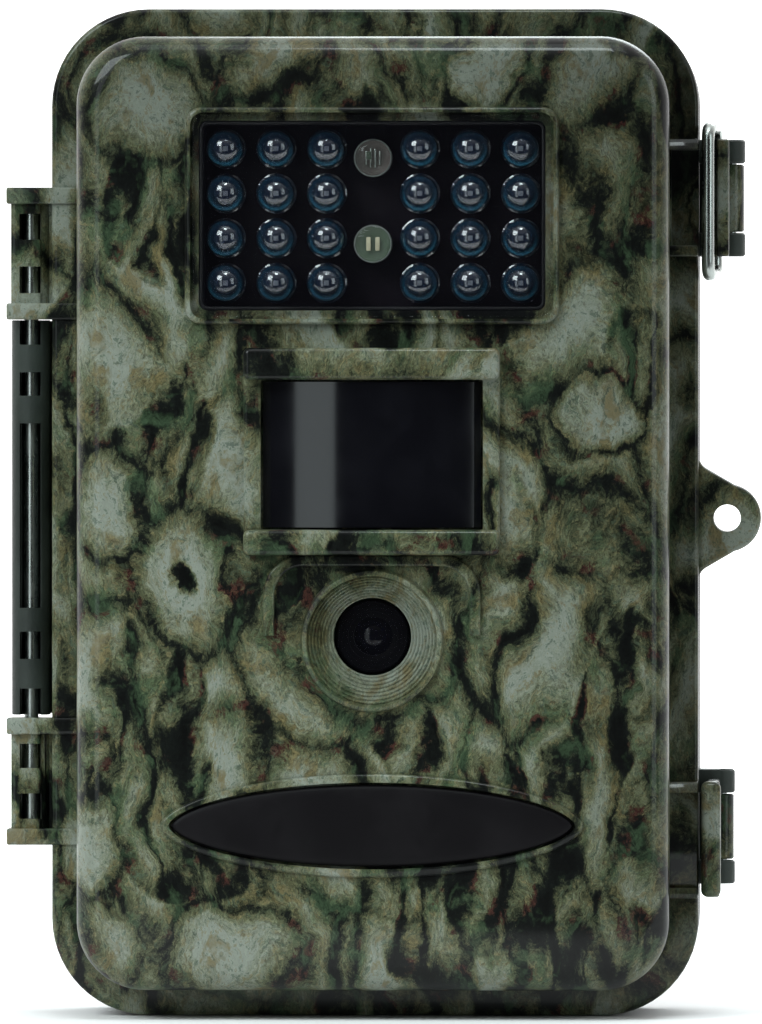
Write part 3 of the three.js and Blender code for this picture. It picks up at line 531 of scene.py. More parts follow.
# The bark's tones, from a fissure to the middle of a plate
BARK_TONES = ((0.0, (0.0012, 0.0016, 0.0014)), (0.24, (0.0045, 0.006, 0.005)), (0.33, (0.030, 0.035, 0.019)),
              (0.46, (0.082, 0.088, 0.046)), (0.64, (0.136, 0.146, 0.094)), (0.84, (0.180, 0.198, 0.152)),
              (1.0, (0.208, 0.231, 0.191)))


def bark_warp(look):
    """The place on the piece, pushed about slowly and then raggedly, so that plates have torn edges."""
    half = (0.5, 0.5, 0.5)
    slow = look.vector("SUBTRACT", look.noise(look.stretch(13, 13, 20), 2.0, 0.5, color=True), half)
    ragged = look.vector("SUBTRACT", look.noise(look.stretch(2.4, 2.4, 3.2), 4.0, 0.62, color=True), half)
    moved = look.vector("ADD", look.where, look.vector("SCALE", slow, scale=15 * MM))
    return look.vector("ADD", moved, look.vector("SCALE", ragged, scale=3.6 * MM))


def bark_plates(look, moved):
    """How far each place lies inside a plate: negative in the fissures."""
    cells = look.cell_edges(look.stretch(13, 40, 18, moved))
    width = look.remap(look.noise(look.stretch(6, 6, 9), 2.0), 0.35, 0.7, 0.045, 0.125)
    zone = look.remap(look.noise(look.stretch(19, 19, 30), 1.0), 0.45, 0.56)
    ribs = look.cell_edges(look.stretch(5.2, 30, 24, moved))
    rib_width = look.remap(look.noise(look.stretch(3.6, 9, 8), 2.0), 0.3, 0.72, 0.05, 0.22)
    rib = look.plus(look.times(look.minus(ribs, rib_width), 0.8), look.minus(1.0, zone))
    inside = look.math("MINIMUM", look.plus(look.minus(cells, width), look.times(zone, 0.08)), rib)
    for knot in KNOTS:
        inside = bark_knot(look, moved, inside, *knot)
    return inside


def bark_knot(look, moved, inside, x, z, half_x, half_z, eye):
    """Sets one knot into the plates, with faint rings, a dark outline and perhaps a dark eye."""
    offset = look.vector("SUBTRACT", moved, (x * MM, 0.0, z * MM))
    scale = (1 / (half_x * MM), 0.0, 1 / (half_z * MM))
    reach = look.vector("LENGTH", look.vector("MULTIPLY", offset, scale))
    beyond = look.minus(look.times(look.minus(reach, 1.0), 0.6), 0.08)
    around = look.math("MINIMUM", inside, beyond)
    rings = look.times(look.math("SINE", look.times(reach, 20.0)), 0.025)
    within = look.plus(look.times(look.minus(1.0, reach), 0.45), rings)
    within = look.minus(within, look.remap(reach, 0.33, 0.03, 0.0, 0.72 * eye))
    mask = look.remap(reach, 1.06, 0.9)
    return look.plus(look.times(around, look.minus(1.0, mask)), look.times(within, mask))


def bark_colour(look, moved, level):
    """Black through olive to pale, with brown, ochre, green and dull red patches, and fine flecks."""
    colour = look.ramp(look.remap(level, -0.16, 0.26, smooth=False), BARK_TONES)
    hue = look.noise(look.stretch(4.5, 4.5, 7, moved), 3.0, 0.6)
    colour = look.mix(look.remap(hue, 0.54, 0.68, 0.0, 0.4), colour, (0.2, 0.14, 0.06), "MULTIPLY")
    ochre = look.times(look.remap(hue, 0.54, 0.68, 0.0, 0.6), look.remap(level, -0.02, 0.1))
    colour = look.mix(ochre, colour, (0.145, 0.112, 0.042))
    green = look.times(look.remap(hue, 0.48, 0.36, 0.0, 0.5), look.remap(level, 0.2, 0.05))
    colour = look.mix(green, colour, (0.052, 0.090, 0.045))
    blush = look.times(look.remap(level, -0.07, -0.03), look.remap(level, 0.01, -0.02))
    patchy = look.remap(look.noise(look.stretch(3.4, 3.4, 3.4)), 0.56, 0.66, 0.0, 0.7)
    colour = look.mix(look.times(blush, patchy), colour, (0.055, 0.010, 0.010))
    fleck = look.noise(look.stretch(0.9, 0.9, 1.3, moved), 3.0, 0.7)
    lit = look.remap(level, -0.06, 0.04)
    for low, high, tint in ((0.56, 0.64, (0.150, 0.125, 0.060)), (0.44, 0.37, (0.040, 0.068, 0.048))):
        colour = look.mix(look.times(look.remap(fleck, low, high, 0.0, 0.6), lit), colour, tint)
    return colour


def bark_fibres(look, fibre, level, colour):
    """Fine fibres across every tone, strongest in the olive."""
    weave = look.remap(fibre, 0.32, 0.68, 0.25, 1.6, smooth=False)
    calm = look.remap(level, 0.1, 0.28, 0.15, 0.8)
    weave = look.plus(look.times(weave, look.minus(1.0, calm)), calm)
    strength = look.add("ShaderNodeCombineXYZ")
    for socket in strength.inputs:
        look.feed(weave, socket)
    return look.mix(1.0, colour, strength.outputs[0], "MULTIPLY")


def painted_bark_shade(look):
    """Darkens the print toward the top, with painted shade toward the latch side, where less light falls, and
    a painted shadow of the dome on the rim by the latches.
    """
    across, _, up = look.axes()
    # Painted shadow of the dome on the rim by the latches, painted shade toward the latch side, and darker
    # toward the top
    rim = look.times(look.remap(across, 40.6 * MM, 41.6 * MM), look.remap(across, 45.7 * MM, 45.2 * MM))
    shade_x = look.remap(across, 8 * MM, 40 * MM, 0.0, 0.25)
    shade_z = look.remap(up, 98 * MM, 132 * MM, 0.0, 0.33)
    return look.math("ADD", look.plus(shade_x, shade_z), look.times(rim, 0.3), clamp=True)


def bark_print():
    """Tree-bark camouflage under a clear coat: pale plates that fall away through olive to black fissures."""
    look = Look("bark_print", (0.1, 0.1, 0.08), 0.5, Specular_IOR_Level=0.08, Coat_Weight=0.42,
                Coat_Roughness=0.08, Coat_IOR=1.45)
    moved = bark_warp(look)
    # Grain and cloud break up the fall from pale to black
    grain = look.minus(look.noise(look.stretch(0.5, 0.5, 0.8, moved), 5.0, 0.75), 0.5)
    cloud = look.minus(look.noise(look.stretch(4.0, 9, 7, moved), 3.0, 0.6), 0.5)
    broken = look.plus(look.times(grain, 0.30), look.times(cloud, 0.22))
    level = look.plus(bark_plates(look, moved), broken)
    fibre = look.noise(look.stretch(0.36, 0.36, 1.3, moved), 4.0, 0.75)
    colour = bark_fibres(look, fibre, level, bark_colour(look, moved, level))
    # Painted shade: the print is mixed toward black toward the top, the latch side and the rim by the latches
    look.color(look.mix(painted_bark_shade(look), colour, (0.0, 0.0, 0.0)))
    look.rough(look.remap(fibre, 0.3, 0.7, 0.38, 0.52))
    look.bump(look.noise(look.stretch(2.2, 2.2, 2.2), 2.0), 0.05, 0.25)
    return look.material


def moulded(name, color, roughness, grain=0.35, depth=0.05, wear=0.35, specular=0.3):
    """Moulded plastic with a spark-eroded texture, slight mottling and paler rubbed spots."""
    look = Look(name, color, roughness, Specular_IOR_Level=specular)
    fine = look.noise(look.stretch(grain, grain, grain), 2.0, 0.6)
    broad = look.noise(look.stretch(14, 14, 14), 3.0, 0.6)
    paler = tuple(min(1.0, c * (1 + wear) + 0.004) for c in color)
    darker = tuple(c * (1 - 0.6 * wear) for c in color)
    look.color(look.mix(look.remap(broad, 0.35, 0.68), darker, paler))
    texture = look.plus(look.times(fine, 0.5), look.times(broad, 0.5))
    look.rough(look.remap(texture, 0.3, 0.7, roughness * 0.85, min(1.0, roughness * 1.2)))
    look.bump(fine, depth, 0.6)
    return look.material


def glossy(name, color, roughness=0.08, coat=1.0, smudge=0.05, specular=0.5):
    """Polished plastic with faint smudges that show only in its gloss."""
    look = Look(name, color, roughness, Coat_Weight=coat, Coat_Roughness=0.04, Specular_IOR_Level=specular)
    broad = look.noise(look.stretch(9, 9, 9), 4.0, 0.6)
    look.color(look.mix(look.remap(broad, 0.4, 0.7), color, tuple(c * 1.35 + 0.001 for c in color)))
    look.rough(look.remap(broad, 0.3, 0.7, roughness, roughness + smudge))
    return look.material


def clear(name, color, alpha, roughness=0.04):
    """A thin clear cover: mostly see-through, with its own gloss."""
    look = Look(name, color, roughness, Alpha=alpha, IOR=1.5, Coat_Weight=1.0, Coat_Roughness=0.02)
    look.rough(look.remap(look.noise(look.stretch(8, 8, 8), 3.0), 0.3, 0.7, roughness, roughness + 0.04))
    return look.material


def metal(name, color, roughness, brushed=(0.25, 0.25, 6.0), spots=0.25):
    """Drawn or turned metal: fine lines along the bar, and a little dulling."""
    look = Look(name, color, roughness, 1.0)
    lines = look.noise(look.stretch(*brushed), 2.0, 0.5)
    dull = look.noise(look.stretch(5, 5, 5), 3.0, 0.6)
    look.color(look.mix(look.remap(dull, 0.45, 0.75, 0.0, spots), color, tuple(c * 0.55 for c in color)))
    texture = look.plus(look.times(lines, 0.4), look.times(dull, 0.6))
    look.rough(look.remap(texture, 0.3, 0.7, roughness * 0.75, roughness * 1.5))
    look.bump(lines, 0.01, 0.4)
    return look.material


def lamp_epoxy():
    """Dark blue epoxy with a painted highlight: a paler crescent along its lower rim, in colour and as a
    faint glow.
    """
    look = Look("lamp_epoxy", (0.006, 0.02, 0.04), 0.05, Alpha=0.6, IOR=1.9, Coat_Weight=1.0,
                Coat_Roughness=0.02, Coat_IOR=1.8)
    reach = look.vector("LENGTH", look.vector("MULTIPLY", look.where, (1.0, 0.0, 1.0)))
    # Painted highlight: a crescent on the lower rim, stronger toward the bottom, where light from above would
    # gather
    rim = look.times(look.remap(reach, 1.75 * MM, 2.25 * MM), look.remap(reach, 2.5 * MM, 2.3 * MM))
    lower = look.remap(look.axes()["Z"], 0.8 * MM, -2.3 * MM, 0.12, 1.0)
    painted_glow = look.times(rim, lower)
    core = look.remap(reach, 1.6 * MM, 0.3 * MM)
    color = look.mix(core, (0.006, 0.02, 0.045), (0.02, 0.03, 0.06))
    look.color(look.mix(painted_glow, color, (0.03, 0.17, 0.27)))
    # Painted glow: the crescent also gives off faint light of its own
    light = look.mix(look.times(painted_glow, 0.55), (0.0, 0.0, 0.0), (0.02, 0.16, 0.26))
    look.feed(light, look.shader.inputs["Emission Color"])
    look.set("Emission Strength", 0.24)
    return look.material


def circuit_board():
    """Solder mask with darker copper areas and pale tracks."""
    look = Look("circuit_board", (0.02, 0.11, 0.055), 0.42, Coat_Weight=0.5, Coat_Roughness=0.2)
    tracks = look.cell_edges(look.stretch(3.2, 3.2, 3.2))
    look.color(look.mix(look.remap(tracks, 0.03, 0.06), (0.06, 0.2, 0.11), (0.012, 0.075, 0.04)))
    look.bump(look.remap(tracks, 0.02, 0.08), 0.03, 0.5)
    return look.material


def screen_face():
    """A display under its cover: black border, slate active area with faint lines."""
    look = Look("screen_face", (0.02, 0.025, 0.03), 0.08, Coat_Weight=1.0, Coat_Roughness=0.03)
    low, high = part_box("display")
    border = 2.0 * MM
    masks = []
    for axis, place in ((0, look.axes()["X"]), (2, look.axes()["Z"])):
        centre, half = (low[axis] + high[axis]) / 2, (high[axis] - low[axis]) / 2
        off_centre = look.math("ABSOLUTE", look.minus(place, centre))
        masks.append(look.remap(off_centre, half - border, half - border - 0.2 * MM))
    inside = look.times(*masks)
    lines = look.times(look.math("SINE", look.times(look.axes()["Z"], 9000.0)), 0.5)
    active = look.mix(look.plus(lines, 0.5), (0.035, 0.05, 0.06), (0.05, 0.068, 0.08))
    look.color(look.mix(inside, (0.004, 0.004, 0.005), active))
    return look.material


LOOKS = {
    "bark": bark_print(),
    "rear": moulded("rear_plastic", (0.017, 0.023, 0.019), 0.5, grain=0.5, depth=0.06),
    "black": moulded("black_plastic", (0.008, 0.008, 0.009), 0.38, wear=0.5),
    "panel": moulded("panel_plastic", (0.028, 0.033, 0.031), 0.55, grain=0.4),
    "badge": glossy("badge_satin", (0.0038, 0.0032, 0.004), 0.4, 0.0, 0.1, 0.1),
    "board_black": glossy("board_black", (0.0050, 0.0028, 0.0062), 0.4, 0.0, 0.15, 0.15),
    "barrel_black": moulded("barrel_black", (0.0022, 0.0020, 0.0028), 0.45, wear=0.5, specular=0.1),
    "window": clear("window_acrylic", (0.01, 0.01, 0.014), 0.1),
    "dark_glass": clear("dark_glass", (0.004, 0.004, 0.006), 0.35),
    "epoxy": lamp_epoxy(),
    "clear_epoxy": clear("clear_epoxy", (0.3, 0.33, 0.29), 0.12, 0.05),
    "sensor_warm": moulded("sensor_warm", (0.105, 0.080, 0.075), 0.5, wear=0.6),
    "sensor_green": moulded("sensor_green", (0.055, 0.090, 0.055), 0.5, wear=0.6),
    "cream": moulded("cream_plastic", (0.62, 0.58, 0.40), 0.5, wear=0.15),
    "pir": glossy("pir_film", (0.003, 0.003, 0.0045), 0.09, 0.0, 0.03),
    "lens": glossy("lens_coating", (0.006, 0.006, 0.02), 0.03, 1.0, 0.01),
    "board": circuit_board(),
    "steel": metal("bright_steel", (0.42, 0.45, 0.43), 0.24),
    "spring": metal("spring_steel", (0.6, 0.6, 0.58), 0.26, brushed=(0.4, 0.4, 0.4)),
    "screw": metal("screw_steel", (0.5, 0.5, 0.49), 0.3, brushed=(0.5, 0.5, 0.5), spots=0.5),
    "brass": metal("turned_brass", (0.72, 0.52, 0.22), 0.24, brushed=(1.0, 0.2, 1.0)),
    "rubber": moulded("silicone", (0.014, 0.014, 0.014), 0.72, grain=0.7),
    "key": moulded("key_rubber", (0.2, 0.22, 0.21), 0.6, grain=0.5, wear=0.12),
    "mark": moulded("white_print", (0.5, 0.52, 0.5), 0.55, grain=0.5, wear=0.1),
    "screen": screen_face(),
    "card": moulded("card_plastic", (0.02, 0.05, 0.18), 0.4, wear=0.15),
    "cup": metal("lamp_cup", (0.05, 0.06, 0.075), 0.35, brushed=(0.3, 0.3, 0.3)),
    # Painted highlight: the die is coloured near-white so it shows as the bright glint at each lamp's centre
    "die": glossy("lamp_die", (0.9, 0.92, 0.95), 0.2, 0.5),
}


# ---------- handing pieces to the frame ----------
def dress(piece, look):
    piece.data.materials.clear()
    piece.data.materials.append(LOOKS[look])
    return piece


def deliver(piece, look, node=None, body=None, angle=30):
    """Shades and dresses a piece; it stands for a CAD node, or just rides on a body."""
    shade(piece, angle)
    dress(piece, look)
    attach(piece, body or BODY_OF[node])
    if node:
        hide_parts(node)
    return piece


# ---------- door shell ----------
def around(node, grow, radius, count=4):
    """A round-cornered outline that stands off a CAD node by grow on every side."""
    (x0, x1), _, (z0, z1) = span(node)
    return rect_outline(x0 - grow, x1 + grow, z0 - grow, z1 + grow, radius, count)


def hinge_windows(z0, z1, fractions):
    x, y = PIN
    return [box("window", (x - 1.5, x + 1.5), (y - 6, y), (z0 + a * (z1 - z0), z0 + b * (z1 - z0)), 0.12)
            for a, b in fractions]


def barrel(z0, z1):
    return rod("barrel", (*PIN, z0), (*PIN, z1), BARREL_R, 0.1, 40)


def door_knuckles():
    x, y = PIN
    parts = []
    for z0, z1 in DOOR_SPANS:
        zs = (z0 - 1, z1 + 1)
        parts.append(barrel(*zs))
        parts.append(box("barrel_front", (x - BARREL_R, x + BARREL_R - 1.2), (y - BARREL_R, y), zs, 0.35, 3))
        parts.append(box("web", (x, -HALF + 1), (y - 0.9, y + 1.1), zs, 0.15))
        for foot in (z1, z0 - PLATE_HEIGHT):
            head = foot + PLATE_HEIGHT
            parts.append(rod("plate", (x, y, foot), (x, y, head), 3.3, 0.2))
            parts.append(box("arm", (x - 3.3, -HALF + DOME_INSET + 0.5), (FLANGE_Y - 0.6, y + 0.4),
                             (foot, head), 0.3, 3))
    return parts


def ear_outline():
    """The padlock ear: a round tip that flares out to the side wall."""
    x, z = EAR_CENTRE
    flare = [(HALF + 0.5, EAR_ROOT - 0.5), (HALF - 0.1, EAR_ROOT + 0.6), (HALF - 2, EAR_ROOT + 1.4)]
    sweep = math.pi / 2 - 0.22
    points = [(across, z - up) for across, up in reversed(flare)]
    for i in range(25):
        angle = -sweep + 2 * sweep * i / 24
        points.append((x + EAR_TIP_R * math.cos(angle), z + EAR_TIP_R * math.sin(angle)))
    return points + [(across, z + up) for across, up in flare]


def shared_holes():
    """The hinge pin's hole and the padlock's, which run through both shells."""
    x, z = EAR_CENTRE
    return [rod("pin_hole", (*PIN, 10), (*PIN, 130), 1.3, 0.1),
            rod("ear_hole", (x, -12, z), (x, 3, z), EAR_HOLE_R, 0.1)]


def lean(piece, slope=0.19, still=-22.9):
    """Lowers each point ahead of Y = still, the more the further ahead, to lean the lens ring down."""
    for vertex in piece.data.vertices:
        vertex.co.z += slope * min(0.0, vertex.co.y - still * MM)
    return piece


def sensor_hood():
    """Cheeks beside the motion sensor, a thin bar under it and a deeper one over it."""
    _, _, (z0, z1) = span("pir_window")
    cheeks = rect_outline(-HOOD_HALF, HOOD_HALF, z0 - 1.5, z1 + 1.5, 0.8, 6)
    parts = [slab("cheeks", cheeks, BEZEL_Y, DOME_Y + 1, 0.4)]
    for low, high in ((z0 - 3.8, z0 - 0.3), (z1 + 0.3, z1 + 4.7)):
        bar = rect_outline(-HOOD_HALF, HOOD_HALF, low, high, 0.9, 6)
        parts.append(slab("bar", bar, HOOD_BAR_Y, DOME_Y + 1, 0.7))
    return parts


def lens_arch():
    """The thin rib that arches over the lens ring."""
    outer = rect_outline(-15.0, 15.0, 40, 64.3, 5.4, 12)
    inner = rect_outline(-13.5, 13.5, 38, 62.8, 4.0, 12)
    arch = frame_ring("arch", outer, inner, DOME_Y - 0.95, DOME_Y + 1)
    return cut(arch, box("below", (-16, 16), (DOME_Y - 2, DOME_Y + 2), (30, 53.2), 0))


def raised_features():
    """What stands proud of the dome: window bezel, sensor hood, lens ring, arch and badge rim."""
    bezel = slab("bezel", around("led_window", 1.05, 2.4, 6), BEZEL_Y, DOME_Y + 1, 0.55)
    profile = [(0, RING_Y), (9.2, RING_Y), (9.65, -25.87), (9.9, -25.4), (9.9, -20.4), (0, -20.4)]
    ring = lean(turned("ring", 0, middle("lens_window")[2], profile, 72))
    rim = slab("rim", oval_outline(middle("badge_plate")[2], 29.3, 7.2), BADGE_RIM_Y, DOME_Y + 1, 0.5)
    return [bezel, *sensor_hood(), ring, lens_arch(), rim]


def catches():
    """For each latch a plain rib and a wedge-shaped one, and the plate between the lower pair."""
    xs = (HALF - DOME_INSET - 1, HALF - 0.1)
    front, back = FLANGE_Y - 2.4, FLANGE_Y + 2
    parts = []
    for low, high in (UPPER_CATCH, LOWER_CATCH):
        parts.append(box("rib", xs, (front, back), (low, low + 1.5), 0.25))
        wedge = [(front, high - 1.5), (back, high - 1.5), (back, high), (front + 0.9, high)]
        parts.append(extrude("upper_rib", wedge, "YZ", *xs, 0.12))
    low, high = LOWER_CATCH
    parts.append(box("catch_plate", xs, (FLANGE_Y - 1.1, back), (low + 1.4, high - 1.4), 0.2))
    return parts


def front_cuts():
    """The room behind the dome and every opening but the lens ring's."""
    (x0, x1), _, (z0, z1) = span("pir_window")
    cavity = slab("cavity", housing_outline(DOME_INSET + DOOR_WALL), DOME_Y + 2.6, 0, 0.8, 0)
    recess = slab("recess", around("led_window", 0.3, 1.8, 6), -28, -24.9)
    opening = slab("opening", around("led_window", -0.85, 1.2, 6), -28, -20)
    pir_recess = slab("pir_recess", around("pir_window", 0.3, 0.3, 6), -30, -23.5)
    pir_inner = slab("pir_inner", rect_outline(x0 + 1.4, x1 - 1.4, z0 + 1.1, z1 - 1.1, 0.5, 6), -30, -20)
    badge_cut = slab("badge_cut", oval_outline(middle("badge_plate")[2], 28.1, 6.0), -28, -24.0)
    windows = [w for low, high in DOOR_SPANS for w in hinge_windows(low, high, DOOR_WINDOWS)]
    return [cavity, recess, opening, pir_recess, pir_inner, badge_cut, *shared_holes(), *windows]


def lens_cut():
    """The stepped cone inside the lens ring, as a cutter."""
    steps, pitch, fall = 8, 0.45, 0.36
    profile = [(0, -27.0), (9.05, -27.0), (9.03, -25.9)]
    for i in range(steps):
        radius = 9.0 - i * pitch
        depth = -25.9 + (i + 1) * fall
        profile += [(radius - 0.12, depth + 0.12), (radius - 0.2, depth + 0.05),
                    (radius - pitch + 0.06, depth - 0.02), (radius - pitch, depth + 0.04)]
    profile += [(5.4, -22.9), (5.3, -22.0), (5.4, -18.0), (0, -18.0)]
    return lean(turned("lens_cut", 0, middle("lens_window")[2], profile, 96))


def front_shell():
    shell = slab("front_shell", housing_outline(0), FLANGE_Y, DOOR_BACK_Y, 0.7, 0.25)
    dome = slab("dome", housing_outline(DOME_INSET), DOME_Y, DOOR_BACK_Y - 0.4, DOME_ROUND, 0, 10)
    ear = extrude("ear", ear_outline(), "XZ", -8.4, DOOR_BACK_Y, 0.5, 3)
    join(shell, dome, *raised_features(), ear, *door_knuckles())
    low, high = UPPER_CATCH
    cut(shell, box("pocket", (HALF - DOME_INSET + 0.2, HALF + 1), (FLANGE_Y - 1, FLANGE_Y + 2),
                   (low + 1.5, high - 1.5), 0.1))
    join(shell, *catches())
    cut(shell, *front_cuts())
    cut(shell, lens_cut())
    deliver(shell, "bark", "front_cover", angle=35)


# ---------- lamp window ----------
def lamp_places():
    """X and Z of each lamp, row by row, with the sensors' gap in the middle."""
    for row in range(4):
        for column in (-3, -2, -1, 1, 2, 3):
            x = math.copysign(LAMP_GAP + (abs(column) - 1) * LAMP_PITCH[0], column)
            yield x, middle("led_board")[2] + (1.5 - row) * LAMP_PITCH[1]


def lamp_array():
    _, (y0, y1), _ = span("led_window")
    deliver(slab("window_pane", around("led_window", 0, 1.5, 6), y0, y1, 0.2, 0.1), "window", "led_window")
    _, (_, board_back), _ = span("led_board")
    board_y = board_back - 1.6
    board = slab("lamp_board", around("led_board", 0, 1.0), board_y, board_back, 0.1, 0.1)
    deliver(board, "board_black", "led_board")
    outer, inner = around("led_window", -0.95, 1.1, 6), around("led_window", -1.35, 0.8, 6)
    liner = frame_ring("window_liner", outer, inner, -24.6, board_y - 0.05, 0.1)
    deliver(liner, "black", body="door")
    lamps(board_y)


def lamps(board_y):
    """Each lamp is an epoxy dome, a cup and a die round one origin; all lamps share the three meshes."""
    tip, radius = -24.3 - board_y, 2.5
    dome = [(0, tip)]
    for i in range(1, 9):
        angle = math.pi / 2 * i / 8
        dome.append((radius * math.sin(angle), tip + radius * (1 - math.cos(angle))))
    dome += [(2.5, -1.4), (2.55, -1.3), (2.8, -1.2), (2.8, -0.1), (0, -0.1)]
    cup = [(0, -3.4), (0.55, -3.4), (0.6, -3.45), (1.3, -4.6), (1.5, -4.6), (1.5, -4.4), (0.95, -3.0),
           (0.9, -1.3), (0, -1.3)]
    first_lamp = shade(turned("lamp_01", 0, 0, dome, 32), 40)
    first_cup = shade(turned("lamp_cup_01", 0, 0, cup, 24))
    first_die = shade(box("lamp_die_01", (-0.35, 0.35), (-3.75, -3.4), (-0.35, 0.35), 0.06))
    firsts = ((first_lamp, "lamp", "epoxy", "led_lens"),
              (first_cup, "lamp_cup", "cup", "steel"),
              (first_die, "lamp_die", "die", "sensor_lens"))
    for first, _, look, _ in firsts:
        dress(first, look)
    for number, (x, z) in enumerate(lamp_places(), 1):
        for first, label, _, slot in firsts:
            piece = first
            if number > 1:
                piece = bpy.data.objects.new(f"{label}_{number:02d}", first.data)
                bpy.context.scene.collection.objects.link(piece)
            piece.location = Vector((x, board_y, z)) * MM
            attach(piece, "door")


def round_sensor(node, ground, tone, bars, pitch, half_width, reach):
    """A clear round dome over a cup, with upright bars in it; reach gives a bar's half height."""
    x, _, z = middle(node)
    _, (front, back), _ = span(node)
    radius = 2.72
    dome = [(0, front), (radius * 0.5, front + 0.06), (radius * 0.8, front + 0.25),
            (radius * 0.94, front + 0.55), (radius, front + 1.1), (radius, back), (0, back)]
    deliver(turned(f"{node}_body", x, z, dome, 40), "clear_epoxy", node)
    cup = [(0, front + 2.2), (1.5, front + 2.1), (2.2, front + 1.7), (2.35, front + 1.5), (2.5, front + 1.5),
           (2.6, front + 1.7), (2.6, back - 0.1), (0, back - 0.1)]
    rim = [(2.45, front + 1.15), (2.55, front + 1.05), (2.64, front + 1.15), (2.64, front + 1.35),
           (2.45, front + 1.35)]
    deliver(turned(f"{node}_base", x, z, cup, 32), ground, body="door")
    deliver(turned(f"{node}_rim", x, z, rim, 40), "key", body="door")
    for i in range(bars):
        off_centre = i - (bars - 1) / 2
        place = x + off_centre * pitch
        bar = box(f"{node}_bar_{i + 1}", (place - half_width, place + half_width), (front + 1.5, front + 2.0),
                  (z - reach(off_centre), z + reach(off_centre)), 0.08)
        deliver(bar, tone, body="door")


def round_sensors():
    round_sensor("indicator_led", "sensor_warm", "steel", 4, 0.62, 0.09, lambda off: 1.5 - 0.35 * abs(off))
    x, _, z = middle("indicator_led")
    front = span("indicator_led")[1][0]
    flag = box("indicator_led_flag", (x - 0.9, x - 0.25), (front + 1.35, front + 1.6),
               (z - 0.2, z + 0.9), 0.1)
    deliver(flag, "sensor_green", body="door")
    round_sensor("light_sensor", "sensor_green", "cream", 2, 1.25, 0.3, lambda off: 0.95)


# ---------- motion sensor, lens and badge ----------
def pir_window():
    (x0, x1), (y0, _), (z0, z1) = span("pir_window")
    half, thick, sag, count = (x1 - x0) / 2, 0.8, 3.0, 48
    radius = (half * half + sag * sag) / (2 * sag)
    sweep = math.asin(half / radius)
    outer, inner = [], []
    for i in range(count + 1):
        angle = -sweep + 2 * sweep * i / count
        for line, reach in ((outer, radius), (inner, radius - thick)):
            line.append((reach * math.sin(angle), y0 + radius - reach * math.cos(angle)))
    deliver(extrude("pir_lens", outer + inner[::-1], "XY", z0, z1), "pir", "pir_window")
    dress(frame["nodes"]["pir_sensor"], "steel")


def lens_stack():
    z = middle("lens_window")[2]
    _, (y0, y1), _ = span("lens_window")
    glass = [(0, y0), (4.9, y0), (5.1, y0 + 0.15), (5.1, y1), (0, y1)]
    deliver(turned("lens_glass", 0, z, glass, 64), "dark_glass", "lens_window")
    _, (front, back), _ = span("lens_barrel")
    tube = [(2.7, front + 0.4), (3.0, front + 0.25), (3.4, front + 0.25), (3.5, front + 0.1),
            (4.0, front + 0.1), (4.1, front), (4.75, front), (4.9, front + 0.15), (4.9, back),
            (3.6, back), (3.6, front + 1.6), (2.7, front + 1.2)]
    deliver(turned("lens_tube", 0, z, tube, 64), "barrel_black", "lens_barrel")
    _, (front, back), _ = span("front_lens")
    dome = [(3.3 * i / 8, front + 1.3 * (i / 8) ** 2) for i in range(9)]
    deliver(turned("front_element", 0, z, dome + [(3.3, back), (0, back)]), "lens", "front_lens")
    dress(frame["nodes"]["ir_cut_filter"], "lens")
    dress(frame["nodes"]["image_sensor"], "board")


def badge():
    """A plain oval plate, very slightly domed."""
    _, (y0, y1), _ = span("badge_plate")
    outline = oval_outline(middle("badge_plate")[2], 27.75, 5.65)
    rings = [(5.2, y0), (2.6, y0 + 0.01), (1.2, y0 + 0.03), (0.6, y0 + 0.08), (0.25, y0 + 0.2),
             (0.06, y0 + 0.4), (0.0, y0 + 0.6), (0.0, y1)]
    plate = loft("badge", [[(x, y, h) for x, h in outline(inset)] for inset, y in rings])
    deliver(plate, "badge", "badge_plate", angle=50)


# ---------- inner side of the door ----------
def inner_panel():
    front, back = -8.6, -6.6
    panel = slab("control_panel", housing_outline(DOME_INSET + DOOR_WALL + 0.3), front, back, 0.1, 0.4)
    join(panel, slab("surround", around("display", 2.7, 2.0, 6), front, back + 0.8, 0, 0.4))
    holes = [slab("hole", around("display", 0.3, 0.4), -12, 0)]
    for key in KEY_NODES:
        (x0, x1), _, _ = span(key)
        holes.append(panel_hole(key, (x1 - x0) / 2 - KEY_COLLAR + 0.3, 40))
    x, _, z = middle("power_switch")
    holes.append(slab("hole", rect_outline(x - 5.4, x + 5.4, z - 1.8, z + 1.8, 0.4, 3), -12, 0))
    for node in ("usb_socket", "video_socket"):
        holes.append(slab("hole", around(node, 0.3, 0.4, 3), -12, 0))
    for i in range(1, 5):
        holes.append(panel_hole(f"panel_screw_{i}", 1.6))
    cut(panel, *holes)
    deliver(panel, "panel", "inner_panel")
    _, (y0, y1), _ = span("display")
    deliver(slab("screen", around("display", 0, 0.5), y0, y1, 0.1, 0.25), "screen", "display")
    dress(frame["nodes"]["main_board"], "board")


def panel_hole(node, radius, sides=32):
    x, _, z = middle(node)
    return rod("hole", (x, -12, z), (x, 0, z), radius, 0.1, sides)


def keys():
    """Round caps with plain marks: arrows on five of them, a square on one and a ring on one."""
    for node in KEY_NODES:
        x, _, z = middle(node)
        (x0, x1), (front, back), _ = span(node)
        collar = (x1 - x0) / 2
        radius = collar - KEY_COLLAR
        step = -8.9
        profile = [(0, front), (collar, front), (collar, step), (radius, step), (radius, back - 0.7),
                   (radius - 0.1, back - 0.35), (radius - 0.4, back - 0.12), (radius - 1.0, back - 0.02),
                   (0, back - 0.12)]
        deliver(turned(f"{node}_cap", x, z, profile), "key", node)
        mark = key_mark(node, x, z, back - 0.14, back - 0.015)
        deliver(mark, "mark", body=BODY_OF[node])


